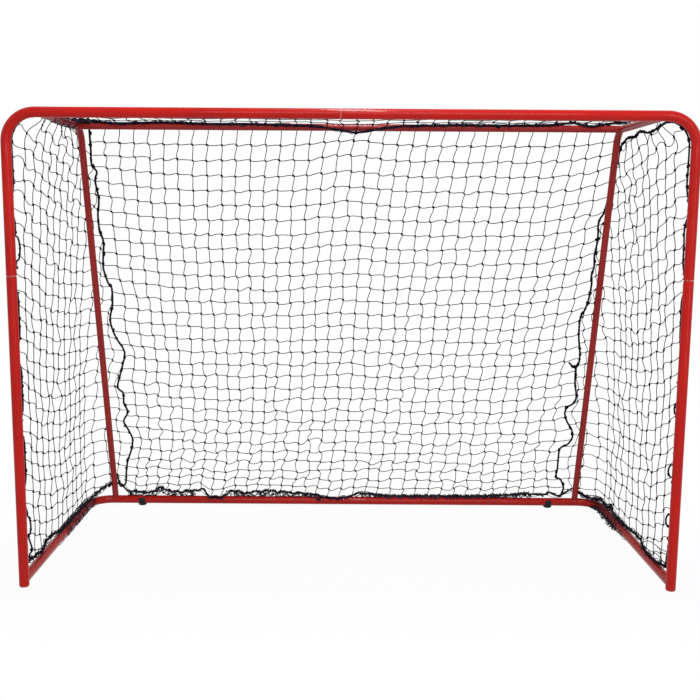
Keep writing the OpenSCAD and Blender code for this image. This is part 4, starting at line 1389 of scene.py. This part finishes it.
@dataclass
class SnapSprings:
    """The leaf springs behind the snap buttons, which bend when a button goes in."""

    nodes: Dict[str, bpy.types.Object]
    joints: Sequence[Dict[str, Any]]
    straight: float = 0.0013
    bends: int = 8
    weld: float = 1e-6

    def build(self) -> None:
        """Makes the spring of each button's joint."""
        for joint in self.joints:
            for row in joint["deforming_nodes"]:
                self._leaf(row["node"], joint["child"], np.array(joint["axis"], float))

    def _leaf(self, node: str, button: str, press: Array) -> None:
        """Makes one spring, held in its tube at one end and moved by its button at the other.

        Args:
            node: the CAD node with its shape at rest.
            button: the body of its button; not used.
            press: the way in which the button moves.
        """
        low, high = (np.array(corner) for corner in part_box(node))
        half = float(np.abs(press) @ (high - low)) / 2 - self.straight
        seat, top = ((low + high) / 2 + press * half * way for way in (1.0, -1.0))
        shape = bmesh.new()
        shape.from_mesh(self.nodes[node].data)
        bmesh.ops.remove_doubles(shape, verts=shape.verts, dist=self.weld)
        for share in np.linspace(0, 1, self.bends):
            every = [*shape.verts, *shape.edges, *shape.faces]
            bmesh.ops.bisect_plane(shape, geom=every, plane_co=seat + (top - seat) * share, plane_no=press)
        mesh = bpy.data.meshes.new(f"{node}_leaf")
        shape.to_mesh(mesh)
        shape.free()
        mesh.materials.append(SPRING_STEEL.material())
        piece = in_scene(mesh.name, mesh)
        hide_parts(node)
        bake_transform(piece)
        LOG.info("%s: %d faces", mesh.name, len(mesh.polygons))


@dataclass
class Studio:
    """Floor, lamps, world and the camera at the photograph's angle."""

    camera_place: Point = (-0.0335, -2.7333, 0.9281)
    pitch: float = 0.14853
    yaw: float = 0.00017
    roll: float = 0.00643
    lens: float = 50.843
    sensor: float = 36.0
    shift: Tuple[float, float] = (0.0209, 0.0185)
    floor_half: float = 12.0
    floor_glow: float = 0.95
    floor_fade: float = 0.4
    floor_grey: Colour = (0.85, 0.85, 0.85)
    sky: float = 0.32
    aim: Point = (0.0, 0.0, 0.6)

    # Name, place, width and height, and watts
    LAMPS = (
        ("soft_front", (0.3, -4.2, 2.4), (2.4, 2.4), 54.0),
        ("soft_left", (-3.2, -1.6, 2.2), (1.6, 1.6), 4.0),
        ("soft_right", (3.3, -0.7, 1.5), (1.0, 1.0), 3.0),
        ("strip_right", (1.9, -3.3, 1.2), (0.30, 2.2), 17.0),
        ("ceiling", (0.05, -0.75, 2.80), (0.20, 1.5), 25.0),
    )

    def build(self) -> None:
        """Makes the stage."""
        bpy.context.scene.view_settings.view_transform = "Standard"
        self._camera()
        self._floor()
        self._world()
        for lamp in self.LAMPS:
            self._lamp(*lamp)

    def _camera(self) -> None:
        """The camera, level apart from its pitch and a trace of roll."""
        data = bpy.data.cameras.new("camera")
        data.lens, data.sensor_width = self.lens, self.sensor
        data.shift_x, data.shift_y = self.shift
        camera = in_scene("camera", data)
        aim = Matrix.Rotation(self.yaw, 4, "Z") @ Matrix.Rotation(math.pi / 2 - self.pitch, 4, "X")
        turn = aim @ Matrix.Rotation(self.roll, 4, "Z")
        camera.matrix_world = Matrix.Translation(self.camera_place) @ turn
        bpy.context.scene.camera = camera

    def _floor(self) -> None:
        """A wide pale floor that shows white, with the goal's soft shadow on it."""
        half = self.floor_half
        mesh = bpy.data.meshes.new("floor")
        corners = [(-half, -half, 0), (half, -half, 0), (half, half, 0), (-half, half, 0)]
        mesh.from_pydata(corners, [], [(0, 1, 2, 3)])
        in_scene("floor", mesh)
        material = bpy.data.materials.new("floor_white")
        material.use_nodes = True
        bench = Bench(material.node_tree)
        place = bench.place()
        beside = abs(bench.along(place, "X")) - CAD_HIGH[0]
        before = abs(bench.along(place, "Y")) - CAD_HIGH[1]
        away = beside.larger(before).band(0.0, self.floor_fade)
        glow = away * (1.0 - self.floor_glow) + self.floor_glow
        matt = bench.node("ShaderNodeBsdfDiffuse", {}, {"Color": (*self.floor_grey, 1.0)})
        white = bench.node("ShaderNodeEmission", {}, {"Color": WHITE, "Strength": 1.0})
        shown = bench.node("ShaderNodeMixShader", {}, {0: bench.seen() * glow, 1: matt, 2: white})
        bench.node("ShaderNodeOutputMaterial", {}, {"Surface": shown})
        mesh.materials.append(material)

    def _world(self) -> None:
        """White where the camera looks, and a plain soft sky for light."""
        world = bpy.data.worlds.new("studio")
        bpy.context.scene.world = world
        world.use_nodes = True
        bench = Bench(world.node_tree)
        sky, white = (
            bench.node("ShaderNodeBackground", {}, {"Color": WHITE, "Strength": strength})
            for strength in (self.sky, 1.0)
        )
        shown = bench.node("ShaderNodeMixShader", {}, {0: bench.seen(), 1: sky, 2: white})
        bench.node("ShaderNodeOutputWorld", {}, {"Surface": shown})

    def _lamp(self, name: str, place: Point, size: Tuple[float, float], watts: float) -> None:
        """A soft lamp of a width and a height that faces the middle of the goal."""
        data = bpy.data.lights.new(name, "AREA")
        data.shape, data.energy = "RECTANGLE", watts
        data.size, data.size_y = size
        lamp = in_scene(name, data)
        lamp.location = place
        lamp.rotation_euler = (Vector(self.aim) - Vector(place)).to_track_quat("-Z", "Y").to_euler()


def main() -> None:
    """Builds the stage and each sub-assembly in order."""
    logging.basicConfig(level=logging.INFO, format="%(name)s %(message)s")
    Studio().build()
    goal = GoalFrame.read()
    TubeFrame(frame["nodes"]).build()
    ropes = BorderRopes(goal)
    ropes.build()
    NetPanels(goal, ropes).build()
    Lacing(goal, ropes).build()
    SnapSprings(frame["nodes"], frame["joints"]).build()


if __name__ == "__main__":
    main()
